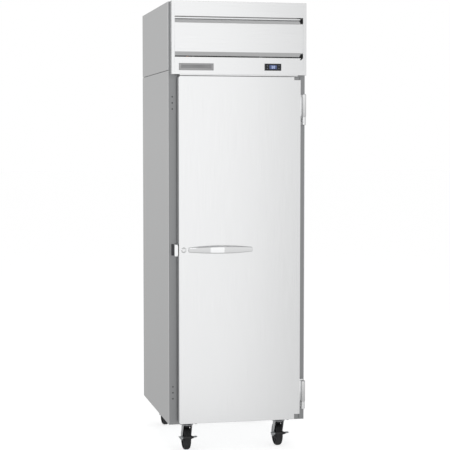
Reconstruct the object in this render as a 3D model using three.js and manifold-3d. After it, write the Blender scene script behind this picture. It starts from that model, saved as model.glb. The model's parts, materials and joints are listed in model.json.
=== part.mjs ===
// One-section reach-in refrigerator on four swivel casters.
//
// Millimetres, +Z up, front towards -Y. Inside the assembly group y = 0 is the front plane of the
// cabinet's face frame and z = 0 is the floor; the group then moves the origin to the bottom centre
// of the whole box.

import * as THREE from "three";
import { mergeVertices } from "three/addons/utils/BufferGeometryUtils.js";
import Module from "manifold-3d";

const wasm = await Module();
wasm.setup();

// ---------------------------------------------------------------- driving dimensions

const GAP = 0.3; // clearance kept between touching pieces
const SHEET = 1.5; // steel sheet thickness

const CABINET_WIDTH = 660.4; // 26 inches
const CABINET_DEPTH = 765; // face frame plane to back panel
const OVERALL_HEIGHT = 2135; // 84 inches, floor to the top of the header
const CABINET_BOTTOM = 147.5;
const BODY_TOP = 1797; // top of the insulated box and bottom of the header
const SEAM_HEIGHT = 1817; // seam between the body sides and the machine shroud
const SEAM_HALF = 1.1;

const OPENING_HALF_WIDTH = 262;
const OPENING_BOTTOM = 190;
const OPENING_TOP = 1758;
const CAVITY_DEPTH = 705;

const DOOR_LEFT = -290.2;
const DOOR_RIGHT = 295.2;
const DOOR_BOTTOM = 158.5;
const DOOR_TOP = 1789;
const DOOR_FRONT = -53; // the header front lies in the same plane
const DOOR_BACK = -10;
const DOOR_SHEET = 1.2;

const HEADER_INSET = 7.7;
const HINGE_AXIS = { x: 314, y: -42 };
const HANDLE_PROUD = 42;
const HANDLE_HEIGHT = 979; // height of the handle ends and of the lock

const SHELF_LEVELS = [540, 900, 1260];
const CASTER_INSET = 103; // swivel axis to the cabinet side
const CASTER_SETBACK = 85; // swivel axis to the face frame plane and to the back
const CASTER_TRAIL = 27.5;
const WHEEL_RADIUS = 57.5;

const HALF_WIDTH = CABINET_WIDTH / 2;
const INNER_HALF = HALF_WIDTH - SHEET - GAP; // room between the two side skins
const HEADER_HALF = HALF_WIDTH - HEADER_INSET;

// ---------------------------------------------------------------- finishes

const FINISHES = {
  stainless: { color: 0xd4d6d8, roughness: 0.32, metalness: 0.9 },
  stainlessDark: { color: 0x9b9da0, roughness: 0.4, metalness: 0.9 },
  galvanised: { color: 0xa9adb0, roughness: 0.5, metalness: 0.8 },
  chrome: { color: 0xe6e8ea, roughness: 0.08, metalness: 1 },
  aluminium: { color: 0xc7cacc, roughness: 0.4, metalness: 0.9 },
  copper: { color: 0xb5683c, roughness: 0.35, metalness: 1 },
  foam: { color: 0xe0cf9a, roughness: 0.95, metalness: 0 },
  rubberGrey: { color: 0x55585a, roughness: 0.8, metalness: 0 },
  rubberBlack: { color: 0x1b1b1c, roughness: 0.7, metalness: 0 },
  plasticBlack: { color: 0x101113, roughness: 0.45, metalness: 0 },
  plasticWhite: { color: 0xeef0f0, roughness: 0.4, metalness: 0 },
  display: { color: 0x6f86c8, roughness: 0.15, metalness: 0 },
  enamelBlack: { color: 0x161718, roughness: 0.35, metalness: 0.2 },
  nameplate: { color: 0x8d8f92, roughness: 0.5, metalness: 0.7 },
};

const assembly = new THREE.Group();

function add(name, geometry, finish) {
  const mesh = new THREE.Mesh(geometry, new THREE.MeshStandardMaterial(FINISHES[finish]));
  mesh.name = name;
  assembly.add(mesh);
  return mesh;
}

// ---------------------------------------------------------------- shapes

/** Box between two corners, given as [low, high] on each axis. */
function block(x, y, z) {
  const geometry = new THREE.BoxGeometry(x[1] - x[0], y[1] - y[0], z[1] - z[0]);
  geometry.translate((x[0] + x[1]) / 2, (y[0] + y[1]) / 2, (z[0] + z[1]) / 2);
  return geometry;
}

function extrude(shape, depth, curveSegments = 6) {
  return new THREE.ExtrudeGeometry(shape, { depth, bevelEnabled: false, curveSegments });
}

/** Shape drawn in (y, z) and run along x. */
function alongX(shape, x, curveSegments) {
  const turn = new THREE.Matrix4().makeBasis(
    new THREE.Vector3(0, 1, 0), new THREE.Vector3(0, 0, 1), new THREE.Vector3(1, 0, 0));
  return extrude(shape, x[1] - x[0], curveSegments).applyMatrix4(turn).translate(x[0], 0, 0);
}

/** Shape drawn in (x, z) and run along y. */
function alongY(shape, y, curveSegments) {
  const geometry = extrude(shape, y[1] - y[0], curveSegments);
  return geometry.rotateX(Math.PI / 2).translate(0, y[1], 0);
}

/** Shape drawn in (x, y) and run along z. */
function alongZ(shape, z, curveSegments) {
  return extrude(shape, z[1] - z[0], curveSegments).translate(0, 0, z[0]);
}

function polygon(points) {
  return new THREE.Shape(points.map(([a, b]) => new THREE.Vector2(a, b)));
}

function rectangle(a, b) {
  return polygon([[a[0], b[0]], [a[1], b[0]], [a[1], b[1]], [a[0], b[1]]]);
}

/** Rectangle ring: the outer rectangle with the inner one left open. */
function ring(outerA, outerB, innerA, innerB) {
  const shape = rectangle(outerA, outerB);
  shape.holes.push(rectangle(innerA, innerB));
  return shape;
}

const AXES = {
  x: new THREE.Vector3(1, 0, 0),
  y: new THREE.Vector3(0, 1, 0),
  z: new THREE.Vector3(0, 0, 1),
};

/** Turns a geometry built about +Y so that it stands about the named axis, from a base point. */
function standOn(geometry, axis, base) {
  geometry.applyQuaternion(new THREE.Quaternion().setFromUnitVectors(AXES.y, AXES[axis]));
  return geometry.translate(base[0], base[1], base[2]);
}

/** Round bar from a base point along a named axis. */
function rod(radius, length, axis, base, segments = 16, endRadius = radius) {
  const geometry = new THREE.CylinderGeometry(endRadius, radius, length, segments);
  geometry.translate(0, length / 2, 0);
  return standOn(geometry, axis, base);
}

/** Turned piece: (radius, height) pairs, spun about the named axis from a base point. */
function turned(profile, axis, base, segments = 24) {
  const points = profile.map(([radius, height]) => new THREE.Vector2(radius, height));
  return standOn(new THREE.LatheGeometry(points, segments), axis, base);
}

/** Closed skin over a row of rings that all have the same number of points. */
function loft(rings) {
  const count = rings[0].length;
  const positions = rings.flat(2);
  const index = [];
  for (let ringNumber = 0; ringNumber < rings.length - 1; ringNumber += 1) {
    for (let point = 0; point < count; point += 1) {
      const next = (point + 1) % count;
      const a = ringNumber * count + point;
      const b = ringNumber * count + next;
      index.push(a, b, a + count);
      index.push(b, b + count, a + count);
    }
  }
  const last = (rings.length - 1) * count;
  for (let point = 1; point < count - 1; point += 1) {
    index.push(0, point + 1, point);
    index.push(last, last + point, last + point + 1);
  }
  const geometry = new THREE.BufferGeometry();
  geometry.setAttribute("position", new THREE.Float32BufferAttribute(positions, 3));
  geometry.setIndex(index);
  return geometry;
}

// ---------------------------------------------------------------- joining and cutting

function toSolid(geometry) {
  const bare = geometry.clone();
  bare.deleteAttribute("normal");
  bare.deleteAttribute("uv");
  const merged = mergeVertices(bare, 1e-4);
  const corners = merged.index.array;
  const kept = [];
  for (let i = 0; i < corners.length; i += 3) {
    const [a, b, c] = [corners[i], corners[i + 1], corners[i + 2]];
    if (a !== b && b !== c && c !== a) {
      kept.push(a, b, c);
    }
  }
  return new wasm.Manifold(new wasm.Mesh({
    numProp: 3,
    vertProperties: Float32Array.from(merged.attributes.position.array),
    triVerts: Uint32Array.from(kept),
  }));
}

function toGeometry(solid) {
  const out = solid.getMesh();
  const geometry = new THREE.BufferGeometry();
  geometry.setAttribute("position", new THREE.Float32BufferAttribute(out.vertProperties, 3));
  geometry.setIndex(Array.from(out.triVerts));
  geometry.computeVertexNormals();
  return geometry;
}

function join(...geometries) {
  return toGeometry(geometries.map(toSolid).reduce((whole, piece) => whole.add(piece)));
}

function cut(base, ...tools) {
  return toGeometry(tools.map(toSolid).reduce((whole, tool) => whole.subtract(tool), toSolid(base)));
}

// ---------------------------------------------------------------- cabinet

const LINE_HOLE = { x: 60, y: 560, radius: 22 }; // refrigerant line pass-through in the ceiling

function lineHole(z) {
  return rod(LINE_HOLE.radius, z[1] - z[0], "z", [LINE_HOLE.x, LINE_HOLE.y, z[0]], 12);
}

function sidePanels() {
  const z = [CABINET_BOTTOM, SEAM_HEIGHT - SEAM_HALF];
  add("side_panel_left", block([-HALF_WIDTH, -HALF_WIDTH + SHEET], [0, CABINET_DEPTH], z), "stainless");
  add("side_panel_right", block([HALF_WIDTH - SHEET, HALF_WIDTH], [0, CABINET_DEPTH], z), "stainless");
}

function backPanel() {
  const y = [CABINET_DEPTH - SHEET, CABINET_DEPTH];
  const z = [CABINET_BOTTOM, SEAM_HEIGHT - SEAM_HALF];
  add("back_panel", block([-INNER_HALF, INNER_HALF], y, z), "galvanised");
}

/** Floor pan with a mounting plate and a swivel raceway under each corner. */
function baseFrame() {
  const pan = block([-INNER_HALF, INNER_HALF], [3.3, 763.2], [CABINET_BOTTOM, CABINET_BOTTOM + 2]);
  const plateHalf = 48;
  const pieces = [pan];
  for (const { x, y } of casterPlaces()) {
    pieces.push(block([x - plateHalf, x + plateHalf], [y - plateHalf, y + plateHalf], [141.5, 148]));
    pieces.push(rod(20, 12, "z", [x, y, 131], 20, 30));
  }
  add("base_frame", join(...pieces), "galvanised");
}

/** Foamed-in-place insulation: one block, open at the front for the storage space. */
function insulation() {
  const clear = GAP + SHEET;
  const body = block([-INNER_HALF, INNER_HALF], [3.3, 763.2], [CABINET_BOTTOM + 2.3, BODY_TOP - 2.3]);
  const cavity = block(
    [-OPENING_HALF_WIDTH - clear, OPENING_HALF_WIDTH + clear],
    [0, CAVITY_DEPTH + clear],
    [OPENING_BOTTOM - clear, OPENING_TOP + clear]);
  add("insulation", cut(body, cavity, lineHole([OPENING_TOP - 5, BODY_TOP])), "foam");
}

function innerLiner() {
  const outer = block(
    [-OPENING_HALF_WIDTH - SHEET, OPENING_HALF_WIDTH + SHEET],
    [3.3, CAVITY_DEPTH + SHEET],
    [OPENING_BOTTOM - SHEET, OPENING_TOP + SHEET]);
  const room = block(
    [-OPENING_HALF_WIDTH, OPENING_HALF_WIDTH], [0, CAVITY_DEPTH], [OPENING_BOTTOM, OPENING_TOP]);
  add("inner_liner", cut(outer, room, lineHole([OPENING_TOP - 5, BODY_TOP])), "aluminium");
}

/**
 * Front ring of the cabinet, with two posts up behind the header. It is drilled on the free side, so
 * that the door can be hung either way.
 */
function faceFrame() {
  const frame = alongY(
    ring([-INNER_HALF, INNER_HALF], [CABINET_BOTTOM, BODY_TOP - GAP],
      [-OPENING_HALF_WIDTH, OPENING_HALF_WIDTH], [OPENING_BOTTOM, OPENING_TOP]),
    [0, 3]);
  const holes = [];
  const pitch = 28.5;
  for (const first of [1637, 271]) {
    for (let step = 0; step < 3; step += 1) {
      holes.push(rod(3, 5, "y", [-311, -1, first + step * pitch], 8));
    }
  }
  const posts = [-1, 1].map((side) => {
    const x = [side * INNER_HALF, side * (INNER_HALF - 28)].sort((a, b) => a - b);
    return block(x, [0, 3], [BODY_TOP - 10, OVERALL_HEIGHT - SHEET - GAP]);
  });
  add("face_frame", cut(join(frame, ...posts), ...holes), "stainlessDark");
}

function topDeck() {
  const deck = block([-INNER_HALF, INNER_HALF], [3.3, 763.2], [BODY_TOP - 2, BODY_TOP]);
  add("top_deck", cut(deck, lineHole([BODY_TOP - 4, BODY_TOP + 2])), "galvanised");
}

/** U-shaped cover around the sides and back of the machine compartment, open on top. */
function machineShroud() {
  const z = [SEAM_HEIGHT + SEAM_HALF, OVERALL_HEIGHT];
  const lipZ = [OVERALL_HEIGHT - SHEET, OVERALL_HEIGHT];
  const lip = 14;
  const inner = HALF_WIDTH - SHEET;
  const wall = polygon([
    [-HALF_WIDTH, 0], [-inner, 0], [-inner, CABINET_DEPTH - SHEET], [inner, CABINET_DEPTH - SHEET],
    [inner, 0], [HALF_WIDTH, 0], [HALF_WIDTH, CABINET_DEPTH], [-HALF_WIDTH, CABINET_DEPTH],
  ]);
  const flange = polygon([
    [-HALF_WIDTH, 0], [-HALF_WIDTH + lip, 0], [-HALF_WIDTH + lip, CABINET_DEPTH - lip],
    [HALF_WIDTH - lip, CABINET_DEPTH - lip], [HALF_WIDTH - lip, 0], [HALF_WIDTH, 0],
    [HALF_WIDTH, CABINET_DEPTH], [-HALF_WIDTH, CABINET_DEPTH],
  ]);
  add("machine_shroud", join(alongZ(wall, z), alongZ(flange, lipZ)), "stainless");
}

// ---------------------------------------------------------------- header

const BAND_TOP = 1877; // top edge of the control band
const TOP_PANEL_BOTTOM = 2065;
const PANEL_BOTTOM = 1901.5;
const PANEL_TOP = 2034.5;
const TOP_SLOPE = { depth: 11, rise: 20.8 };
const POST_LEFT = -308;
const POST_RIGHT = 306;
const NAMEPLATE = { x: [-289, -125], z: [1815.5, 1848] };
const CONTROLLER = { x: [120, 199], z: [1817.5, 1850] };

/** Pressed surround: capped ends, control band below, plain panel above, returns and a lip over the door. */
function headerFrame() {
  const front = [DOOR_FRONT, DOOR_FRONT + SHEET];
  const back = -0.5;
  const outer = block([-HEADER_HALF, HEADER_HALF], [DOOR_FRONT, back], [BODY_TOP, OVERALL_HEIGHT]);
  const hollow = block(
    [-HEADER_HALF + SHEET, HEADER_HALF - SHEET],
    [DOOR_FRONT + SHEET, back + 1],
    [BODY_TOP + SHEET, OVERALL_HEIGHT - SHEET]);
  const window = block([POST_LEFT, POST_RIGHT], [front[0] - 1, front[1] + 1], [BAND_TOP, TOP_PANEL_BOTTOM]);
  const cutout = block(
    [CONTROLLER.x[0] + 4, CONTROLLER.x[1] - 4], [front[0] - 1, front[1] + 1],
    [CONTROLLER.z[0] + 2, CONTROLLER.z[1] - 2]);
  const seam = (x) => block(
    [x - 0.5, x + 0.5], [front[0] - 1, front[0] + 0.9], [BODY_TOP - 1, OVERALL_HEIGHT + 1]);
  const lipY = DOOR_FRONT + 8;
  const dripLip = block([-284, 284], [lipY, lipY + SHEET], [DOOR_TOP + 3.2, BODY_TOP + SHEET / 2]);
  const notch = alongY(polygon([
    [POST_RIGHT - 10, BAND_TOP + 1], [POST_RIGHT - 15, BAND_TOP - 9],
    [POST_RIGHT - 9, BAND_TOP - 9], [POST_RIGHT, BAND_TOP + 1],
  ]), [front[0] - 1, front[1] + 1]);
  const shell = cut(outer, hollow, window, cutout, notch, seam(POST_LEFT - 0.8), seam(POST_RIGHT + 0.8));
  add("header_frame", join(shell, dripLip), "stainless");
}

/** Middle panel of the header, with both long edges folded back at a slant. */
function headerPanel() {
  const front = DOOR_FRONT;
  const face = alongX(polygon([
    [front, PANEL_BOTTOM], [front, PANEL_TOP], [front + TOP_SLOPE.depth, PANEL_TOP + TOP_SLOPE.rise],
    [front + TOP_SLOPE.depth + 1, PANEL_TOP + TOP_SLOPE.rise - 0.7], [front + SHEET, PANEL_TOP - 0.7],
    [front + SHEET, PANEL_BOTTOM + 0.7], [front + 9.2, PANEL_BOTTOM - 18.2],
    [front + 8, PANEL_BOTTOM - 19],
  ]), [POST_LEFT + GAP, POST_RIGHT - GAP]);
  const trim = (z) => block([POST_RIGHT - 12, POST_RIGHT + 1], [front + 2, front + 30], z);
  add("header_panel", cut(face,
    trim([PANEL_TOP, PANEL_TOP + 22]), trim([PANEL_BOTTOM - 20, PANEL_BOTTOM])), "stainless");
}

/** Narrow blade in the upper air slot, with its flange running back into the compartment. */
function headerLouver() {
  const y = DOOR_FRONT + 5;
  const blade = alongX(polygon([
    [y, 2055], [y, 2060.5], [y + 30, 2070.5], [y + 30, 2069], [y + SHEET, 2059.5], [y + SHEET, 2055],
  ]), [POST_LEFT + GAP, POST_RIGHT - 12]);
  add("header_louver", blade, "stainless");
}

function nameplate() {
  add("nameplate", block(NAMEPLATE.x, [DOOR_FRONT - GAP - 1.5, DOOR_FRONT - GAP], NAMEPLATE.z), "nameplate");
}

/** Digital controller: bezel with its body through the control band, display and four keys. */
function controller() {
  const face = DOOR_FRONT - GAP - 5;
  const middleX = (CONTROLLER.x[0] + CONTROLLER.x[1]) / 2;
  const middleZ = (CONTROLLER.z[0] + CONTROLLER.z[1]) / 2;
  const plate = block(CONTROLLER.x, [face, DOOR_FRONT - GAP], CONTROLLER.z);
  const body = block([middleX - 35, middleX + 35], [face + 1, -8], [middleZ - 13.5, middleZ + 13.5]);
  const windowX = [middleX - 18.5, middleX + 18.5];
  const windowZ = [middleZ - 10, middleZ + 10];
  const pockets = [block(windowX, [face - 1, face + 2], windowZ)];
  const keys = { key_up: [-28, 6.5], key_down: [-28, -6.5], key_set: [28, 6.5], key_defrost: [28, -6.5] };
  for (const [dx, dz] of Object.values(keys)) {
    const x = middleX + dx;
    const z = middleZ + dz;
    pockets.push(block([x - 5.5, x + 5.5], [face - 1, face + 3], [z - 4.5, z + 4.5]));
  }
  add("controller_bezel", cut(join(plate, body), ...pockets), "plasticBlack");
  const glass = (range) => [range[0] + GAP, range[1] - GAP];
  add("controller_display", block(glass(windowX), [face + 0.4, face + 1.7], glass(windowZ)), "display");
  for (const [name, [dx, dz]] of Object.entries(keys)) {
    const x = middleX + dx;
    const z = middleZ + dz;
    add(name, block([x - 5, x + 5], [face - 0.9, face + 1.7], [z - 4, z + 4]), "plasticBlack");
  }
}

// ---------------------------------------------------------------- inside the storage space

const EVAPORATOR = { halfWidth: 215, y: [70, 640], z: [1650, OPENING_TOP - GAP] };
const EVAPORATOR_FAN = { x: 0, y: 92, z: 1704, radius: 42 };

/** Coil housing under the ceiling, open at the top, with an air outlet in front and an inlet below. */
function evaporatorCover() {
  const { halfWidth, y, z } = EVAPORATOR;
  const wall = 1.5;
  const outer = block([-halfWidth, halfWidth], y, z);
  const inner = block(
    [-halfWidth + wall, halfWidth - wall], [y[0] + wall, y[1] - wall], [z[0] + wall, z[1] + 1]);
  const outlet = rod(EVAPORATOR_FAN.radius + 4, 6, "y", [EVAPORATOR_FAN.x, y[0] - 2, EVAPORATOR_FAN.z], 20);
  const inlet = block([-160, 160], [y[1] - 120, y[1] - 40], [z[0] - 1, z[0] + 4]);
  // A bridge across the housing carries the fan motor behind the outlet.
  const motor = rod(24, 50, "y", [EVAPORATOR_FAN.x, EVAPORATOR_FAN.y + 16, EVAPORATOR_FAN.z], 16);
  const footY = [EVAPORATOR_FAN.y + 25, EVAPORATOR_FAN.y + 55];
  const foot = block([-12, 12], footY, [z[0] + 1, EVAPORATOR_FAN.z - 10]);
  add("evaporator_cover", join(cut(outer, inner, outlet, inlet), motor, foot), "aluminium");
}

function evaporatorCoil() {
  const x = [-180, 180];
  const y = [300, 470];
  const z = [1662, 1752];
  const plates = x.map((side) => block([side - 1.5, side + 1.5], [y[0] - 8, y[1] + 8], [z[0] - 5, z[1] + 3]));
  add("evaporator_coil", join(block(x, y, z), ...plates), "aluminium");
}

/** Axial fan turning about Y: a hub with pitched blades. */
function axialFan(name, centre, hubRadius, tipRadius, depth, bladeCount, finish) {
  const parts = [rod(hubRadius, depth, "y", [0, -depth / 2, 0], 12)];
  const pitch = THREE.MathUtils.degToRad(28);
  for (let blade = 0; blade < bladeCount; blade += 1) {
    const chord = tipRadius * 0.62;
    const paddle = alongZ(
      polygon([[-chord * 0.3, -0.8], [chord * 0.3, -0.8], [chord * 0.3, 0.8], [-chord * 0.3, 0.8]]),
      [hubRadius * 0.5, tipRadius]);
    paddle.rotateZ(pitch);
    paddle.rotateY((blade / bladeCount) * Math.PI * 2);
    parts.push(paddle);
  }
  const fan = join(...parts);
  fan.translate(centre[0], centre[1], centre[2]);
  add(name, fan, finish);
}

function ledLight() {
  const z = [1741, OPENING_TOP - GAP];
  const section = polygon([[18, z[1]], [18, z[0] + 6], [26, z[0]], [40, z[0]], [46, z[1]]]);
  add("led_light", alongX(section, [-170, 170]), "plasticWhite");
}

/** Slotted shelf standard with a clip hooked in at each shelf level. */
function pilasters() {
  const depth = 8;
  const wall = OPENING_HALF_WIDTH - GAP;
  const places = { front_left: [-1, 90], front_right: [1, 90], rear_left: [-1, 610], rear_right: [1, 610] };
  for (const [place, [side, y]] of Object.entries(places)) {
    const span = (a, b) => [Math.min(side * a, side * b), Math.max(side * a, side * b)];
    const pieces = [block(span(wall - depth, wall), [y - 9, y + 9], [215, 1600])];
    for (const level of SHELF_LEVELS) {
      const clipX = span(wall - depth - 16, wall - depth + 2);
      pieces.push(block(clipX, [y - 7, y + 7], [level - 16, level - GAP]));
    }
    add(`pilaster_${place}`, join(...pieces), "galvanised");
  }
}

/** Wire shelf, drawn as one grid of bars. */
function shelves() {
  const halfWidth = 248;
  const y = [45, 660];
  const bar = 9;
  const columns = 9;
  const rows = 2;
  const pitchX = (2 * halfWidth - bar) / columns;
  const pitchY = (y[1] - y[0] - bar) / rows;
  const spaces = [];
  for (let column = 0; column < columns; column += 1) {
    for (let row = 0; row < rows; row += 1) {
      const x = -halfWidth + bar + column * pitchX;
      const start = y[0] + bar + row * pitchY;
      spaces.push(block([x, x + pitchX - bar], [start, start + pitchY - bar], [-1, bar + 1]));
    }
  }
  const grid = cut(block([-halfWidth, halfWidth], y, [0, bar]), ...spaces);
  const names = ["shelf_lower", "shelf_middle", "shelf_upper"];
  SHELF_LEVELS.forEach((level, number) => {
    add(names[number], grid.clone().translate(0, 0, level), "chrome");
  });
}

// ---------------------------------------------------------------- machine compartment

const DECK = BODY_TOP + GAP;

/** Welded compressor can on its foot plate. */
function compressor() {
  const centre = [-165, 430];
  const can = turned([
    [0, 0], [70, 0], [82, 14], [84, 60], [88, 64], [88, 72],
    [84, 76], [82, 120], [68, 150], [40, 166], [0, 170],
  ], "z", [centre[0], centre[1], DECK + 22], 20);
  const feet = block(
    [centre[0] - 110, centre[0] + 110], [centre[1] - 70, centre[1] + 70], [DECK + 18, DECK + 24]);
  const grommets = [];
  for (const dx of [-95, 95]) {
    for (const dy of [-55, 55]) {
      grommets.push(rod(12, 19, "z", [centre[0] + dx, centre[1] + dy, DECK], 10));
    }
  }
  add("compressor", join(can, feet, ...grommets), "enamelBlack");
}

const CONDENSER = { x: [-210, 110], y: [30, 92], z: [DECK, DECK + 250] };
const CONDENSER_FAN = { x: -50, y: 112, z: DECK + 128 };

function condenserCoil() {
  const { x, y, z } = CONDENSER;
  const ends = x.map((side) => block([side - 2, side + 2], [y[0] - 6, y[1] + 6], z));
  add("condenser_coil", join(block(x, y, [z[0] + 6, z[1] - 6]), ...ends), "aluminium");
}

/** Fan motor on a two-legged stand. */
function condenserFanMotor() {
  const { x, y, z } = CONDENSER_FAN;
  const motor = rod(40, 70, "y", [x, y + 22, z], 16);
  const post = block([x - 14, x + 14], [y + 40, y + 76], [DECK + 1, z - 20]);
  const foot = block([x - 60, x + 60], [y + 32, y + 84], [DECK, DECK + 3]);
  add("condenser_fan_motor", join(motor, post, foot), "enamelBlack");
}

/** Copper lines: compressor to condenser, and down through the ceiling to the evaporator. */
function refrigerantLines() {
  const tube = (points, radius) => {
    const stops = points.map((point) => new THREE.Vector3(...point));
    const path = new THREE.CatmullRomCurve3(stops, false, "catmullrom", 0.3);
    const section = new THREE.Shape();
    section.absarc(0, 0, radius, 0, Math.PI * 2);
    return new THREE.ExtrudeGeometry(section, {
      steps: points.length * 4, bevelEnabled: false, extrudePath: path, curveSegments: 3,
    });
  };
  const manifoldX = LINE_HOLE.x;
  const suction = tube([
    [-72, 430, DECK + 80], [-20, 430, DECK + 82], [30, 450, DECK + 80], [manifoldX, 500, DECK + 70],
    [manifoldX, 556, DECK + 50], [manifoldX, LINE_HOLE.y, DECK], [manifoldX, LINE_HOLE.y, OPENING_TOP - 20],
    [manifoldX - 2, 530, OPENING_TOP - 40], [manifoldX - 4, 480, OPENING_TOP - 46],
  ], 6);
  const liquid = tube([
    [115, 60, DECK + 40], [150, 70, DECK + 42], [170, 130, DECK + 40], [165, 300, DECK + 36],
    [120, 440, DECK + 40], [manifoldX + 20, 490, DECK + 60], [manifoldX, 500, DECK + 70],
  ], 4);
  const drier = rod(13, 110, "y", [168, 160, DECK + 40], 12);
  add("refrigerant_lines", join(suction, liquid, drier), "copper");
}

function condensatePan() {
  const x = [130, 310];
  const y = [560, 745];
  const z = [DECK, DECK + 42];
  const wall = 2;
  add("condensate_pan", cut(
    block(x, y, z),
    block([x[0] + wall, x[1] - wall], [y[0] + wall, y[1] - wall], [z[0] + wall, z[1] + 1])), "galvanised");
}

/** Electrical box with the gland for the supply cord on top. */
function electricalBox() {
  const box = block([205, 322], [250, 420], [DECK, DECK + 110]);
  const gland = turned([[0, 0], [16, 0], [16, 8], [12, 10], [12, 24], [8, 28], [0, 28]], "z",
    [264, 380, DECK + 109], 12);
  const bore = rod(4.5, 20, "z", [264, 380, DECK + 122], 10);
  add("electrical_box", cut(join(box, gland), bore), "galvanised");
}

// ---------------------------------------------------------------- door

const NOTCH = { topX: 264, topDepth: 14, bottomX: 268, bottomDepth: 25 };

/** Door outline with the small cut corners of the free side. */
function doorOutline(inset) {
  const left = DOOR_LEFT + inset;
  const right = DOOR_RIGHT - inset;
  const bottom = DOOR_BOTTOM + inset;
  const top = DOOR_TOP - inset;
  const corner = 6;
  return polygon([
    [left + corner, bottom], [right, bottom], [right, top], [left + corner, top],
    [left, top - corner], [left, bottom + corner],
  ]);
}

const LOCK = { x: -267.4, z: 979, cam: [-44, -40], camLength: 32, camHalf: 5 };

/** Stainless outer pan, drilled for the lock and slotted in its edge for the lock's cam. */
function doorSkin() {
  const outer = alongY(doorOutline(0), [DOOR_FRONT, DOOR_BACK]);
  const inner = alongY(doorOutline(DOOR_SHEET), [DOOR_FRONT + DOOR_SHEET, DOOR_BACK + 1]);
  const lockHole = rod(9.8, 5, "y", [LOCK.x, DOOR_FRONT - 2, LOCK.z], 16);
  const camSlot = block([DOOR_LEFT - 1, DOOR_LEFT + 3], [-46, -37], [LOCK.z - 28, LOCK.z + 9]);
  const notch = (x, z) => block([x, DOOR_RIGHT + 1], [DOOR_FRONT - 1, DOOR_BACK + 1], z);
  add("door_skin", cut(outer, inner, lockHole, camSlot,
    notch(NOTCH.topX, [DOOR_TOP - NOTCH.topDepth, DOOR_TOP + 1]),
    notch(NOTCH.bottomX, [DOOR_BOTTOM - 1, DOOR_BOTTOM + NOTCH.bottomDepth])), "stainless");
}

const STILE_X = [240, DOOR_RIGHT - DOOR_SHEET - GAP];

/** Foam core with a pocket for the lock and room for its cam to swing. */
function doorFoam() {
  const inset = DOOR_SHEET + GAP;
  const core = alongY(doorOutline(inset), [DOOR_FRONT + inset, DOOR_BACK - 2.3]);
  const stileRoom = block([STILE_X[0] - GAP, 300], [-60, 0], [100, 1900]);
  const lockPocket = block([LOCK.x - 12, LOCK.x + 12], [DOOR_FRONT, -33], [LOCK.z - 12, LOCK.z + 12]);
  const reach = LOCK.camLength + 3;
  const camRoom = block([DOOR_LEFT - 1, LOCK.x + 12], [-47, -36], [LOCK.z - reach, LOCK.z + 12]);
  add("door_foam", cut(core, stileRoom, lockPocket, camRoom), "foam");
}

/** Steel stiffener down the hinge side; its ends fill the notched corners of the pan. */
function doorHingeStile() {
  const thick = 2;
  const [x0, x1] = STILE_X;
  const y = [DOOR_FRONT + DOOR_SHEET + GAP, DOOR_BACK - 2.3];
  const z = [DOOR_BOTTOM + DOOR_SHEET + GAP, DOOR_TOP - DOOR_SHEET - GAP];
  const web = block([x0, x1], [y[1] - thick, y[1]], z);
  const edge = block([x1 - thick, x1], y, z);
  const lug = (x, range) => block([x + GAP, x1], [DOOR_FRONT + 6, y[1]], range);
  add("door_hinge_stile", join(web, edge,
    lug(NOTCH.topX, [DOOR_TOP - NOTCH.topDepth + GAP, z[1]]),
    lug(NOTCH.bottomX, [z[0], DOOR_BOTTOM + NOTCH.bottomDepth - GAP])), "stainlessDark");
}

/** Back of the door: flat margin for the gasket and a raised centre. */
function doorLiner() {
  const margin = alongY(doorOutline(DOOR_SHEET + GAP), [DOOR_BACK - 2, DOOR_BACK]);
  const side = OPENING_HALF_WIDTH - 26;
  const raised = block([-side, side], [DOOR_BACK - 1, 5], [OPENING_BOTTOM + 26, OPENING_TOP - 26]);
  const hollow = block([-side + 2, side - 2], [DOOR_BACK - 3, 3], [OPENING_BOTTOM + 28, OPENING_TOP - 28]);
  add("door_liner", cut(join(margin, raised), hollow), "aluminium");
}

/** Magnetic gasket between the door liner and the face frame. */
function doorGasket() {
  const width = 24;
  const x = [DOOR_LEFT + 4, DOOR_RIGHT - 4];
  const z = [DOOR_BOTTOM + 4, DOOR_TOP - 4];
  const shape = ring(x, z, [x[0] + width, x[1] - width], [z[0] + width + 4, z[1] - width]);
  const body = alongY(shape, [DOOR_BACK + GAP, -0.4]);
  add("door_gasket", body, "rubberGrey");
}

/** Bowed grip: tallest and furthest from the door in the middle, with its ends on the door face. */
function doorHandle() {
  const centreX = -92;
  const halfLength = 153;
  const stations = 16;
  const around = 12;
  const back = DOOR_FRONT - GAP;
  const rings = [];
  for (let station = 0; station <= stations; station += 1) {
    const t = -1 + (2 * station) / stations;
    const crown = 1 - t * t;
    const front = back - 8 - (HANDLE_PROUD - GAP - 8) * crown;
    const inner = Math.min(back, front + 9);
    const top = HANDLE_HEIGHT + 10.5 + 7 * crown;
    const bottom = HANDLE_HEIGHT - 10.5 - 4.5 * crown;
    const points = [];
    for (let corner = 0; corner < around; corner += 1) {
      const angle = (corner / around) * Math.PI * 2;
      const soft = (value) => Math.sign(value) * Math.abs(value) ** 0.55;
      points.push([
        centreX + halfLength * t,
        (front + inner) / 2 + ((inner - front) / 2) * soft(Math.cos(angle)),
        (top + bottom) / 2 + ((top - bottom) / 2) * soft(Math.sin(angle)),
      ]);
    }
    rings.push(points);
  }
  add("door_handle", loft(rings), "chrome");
}

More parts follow.
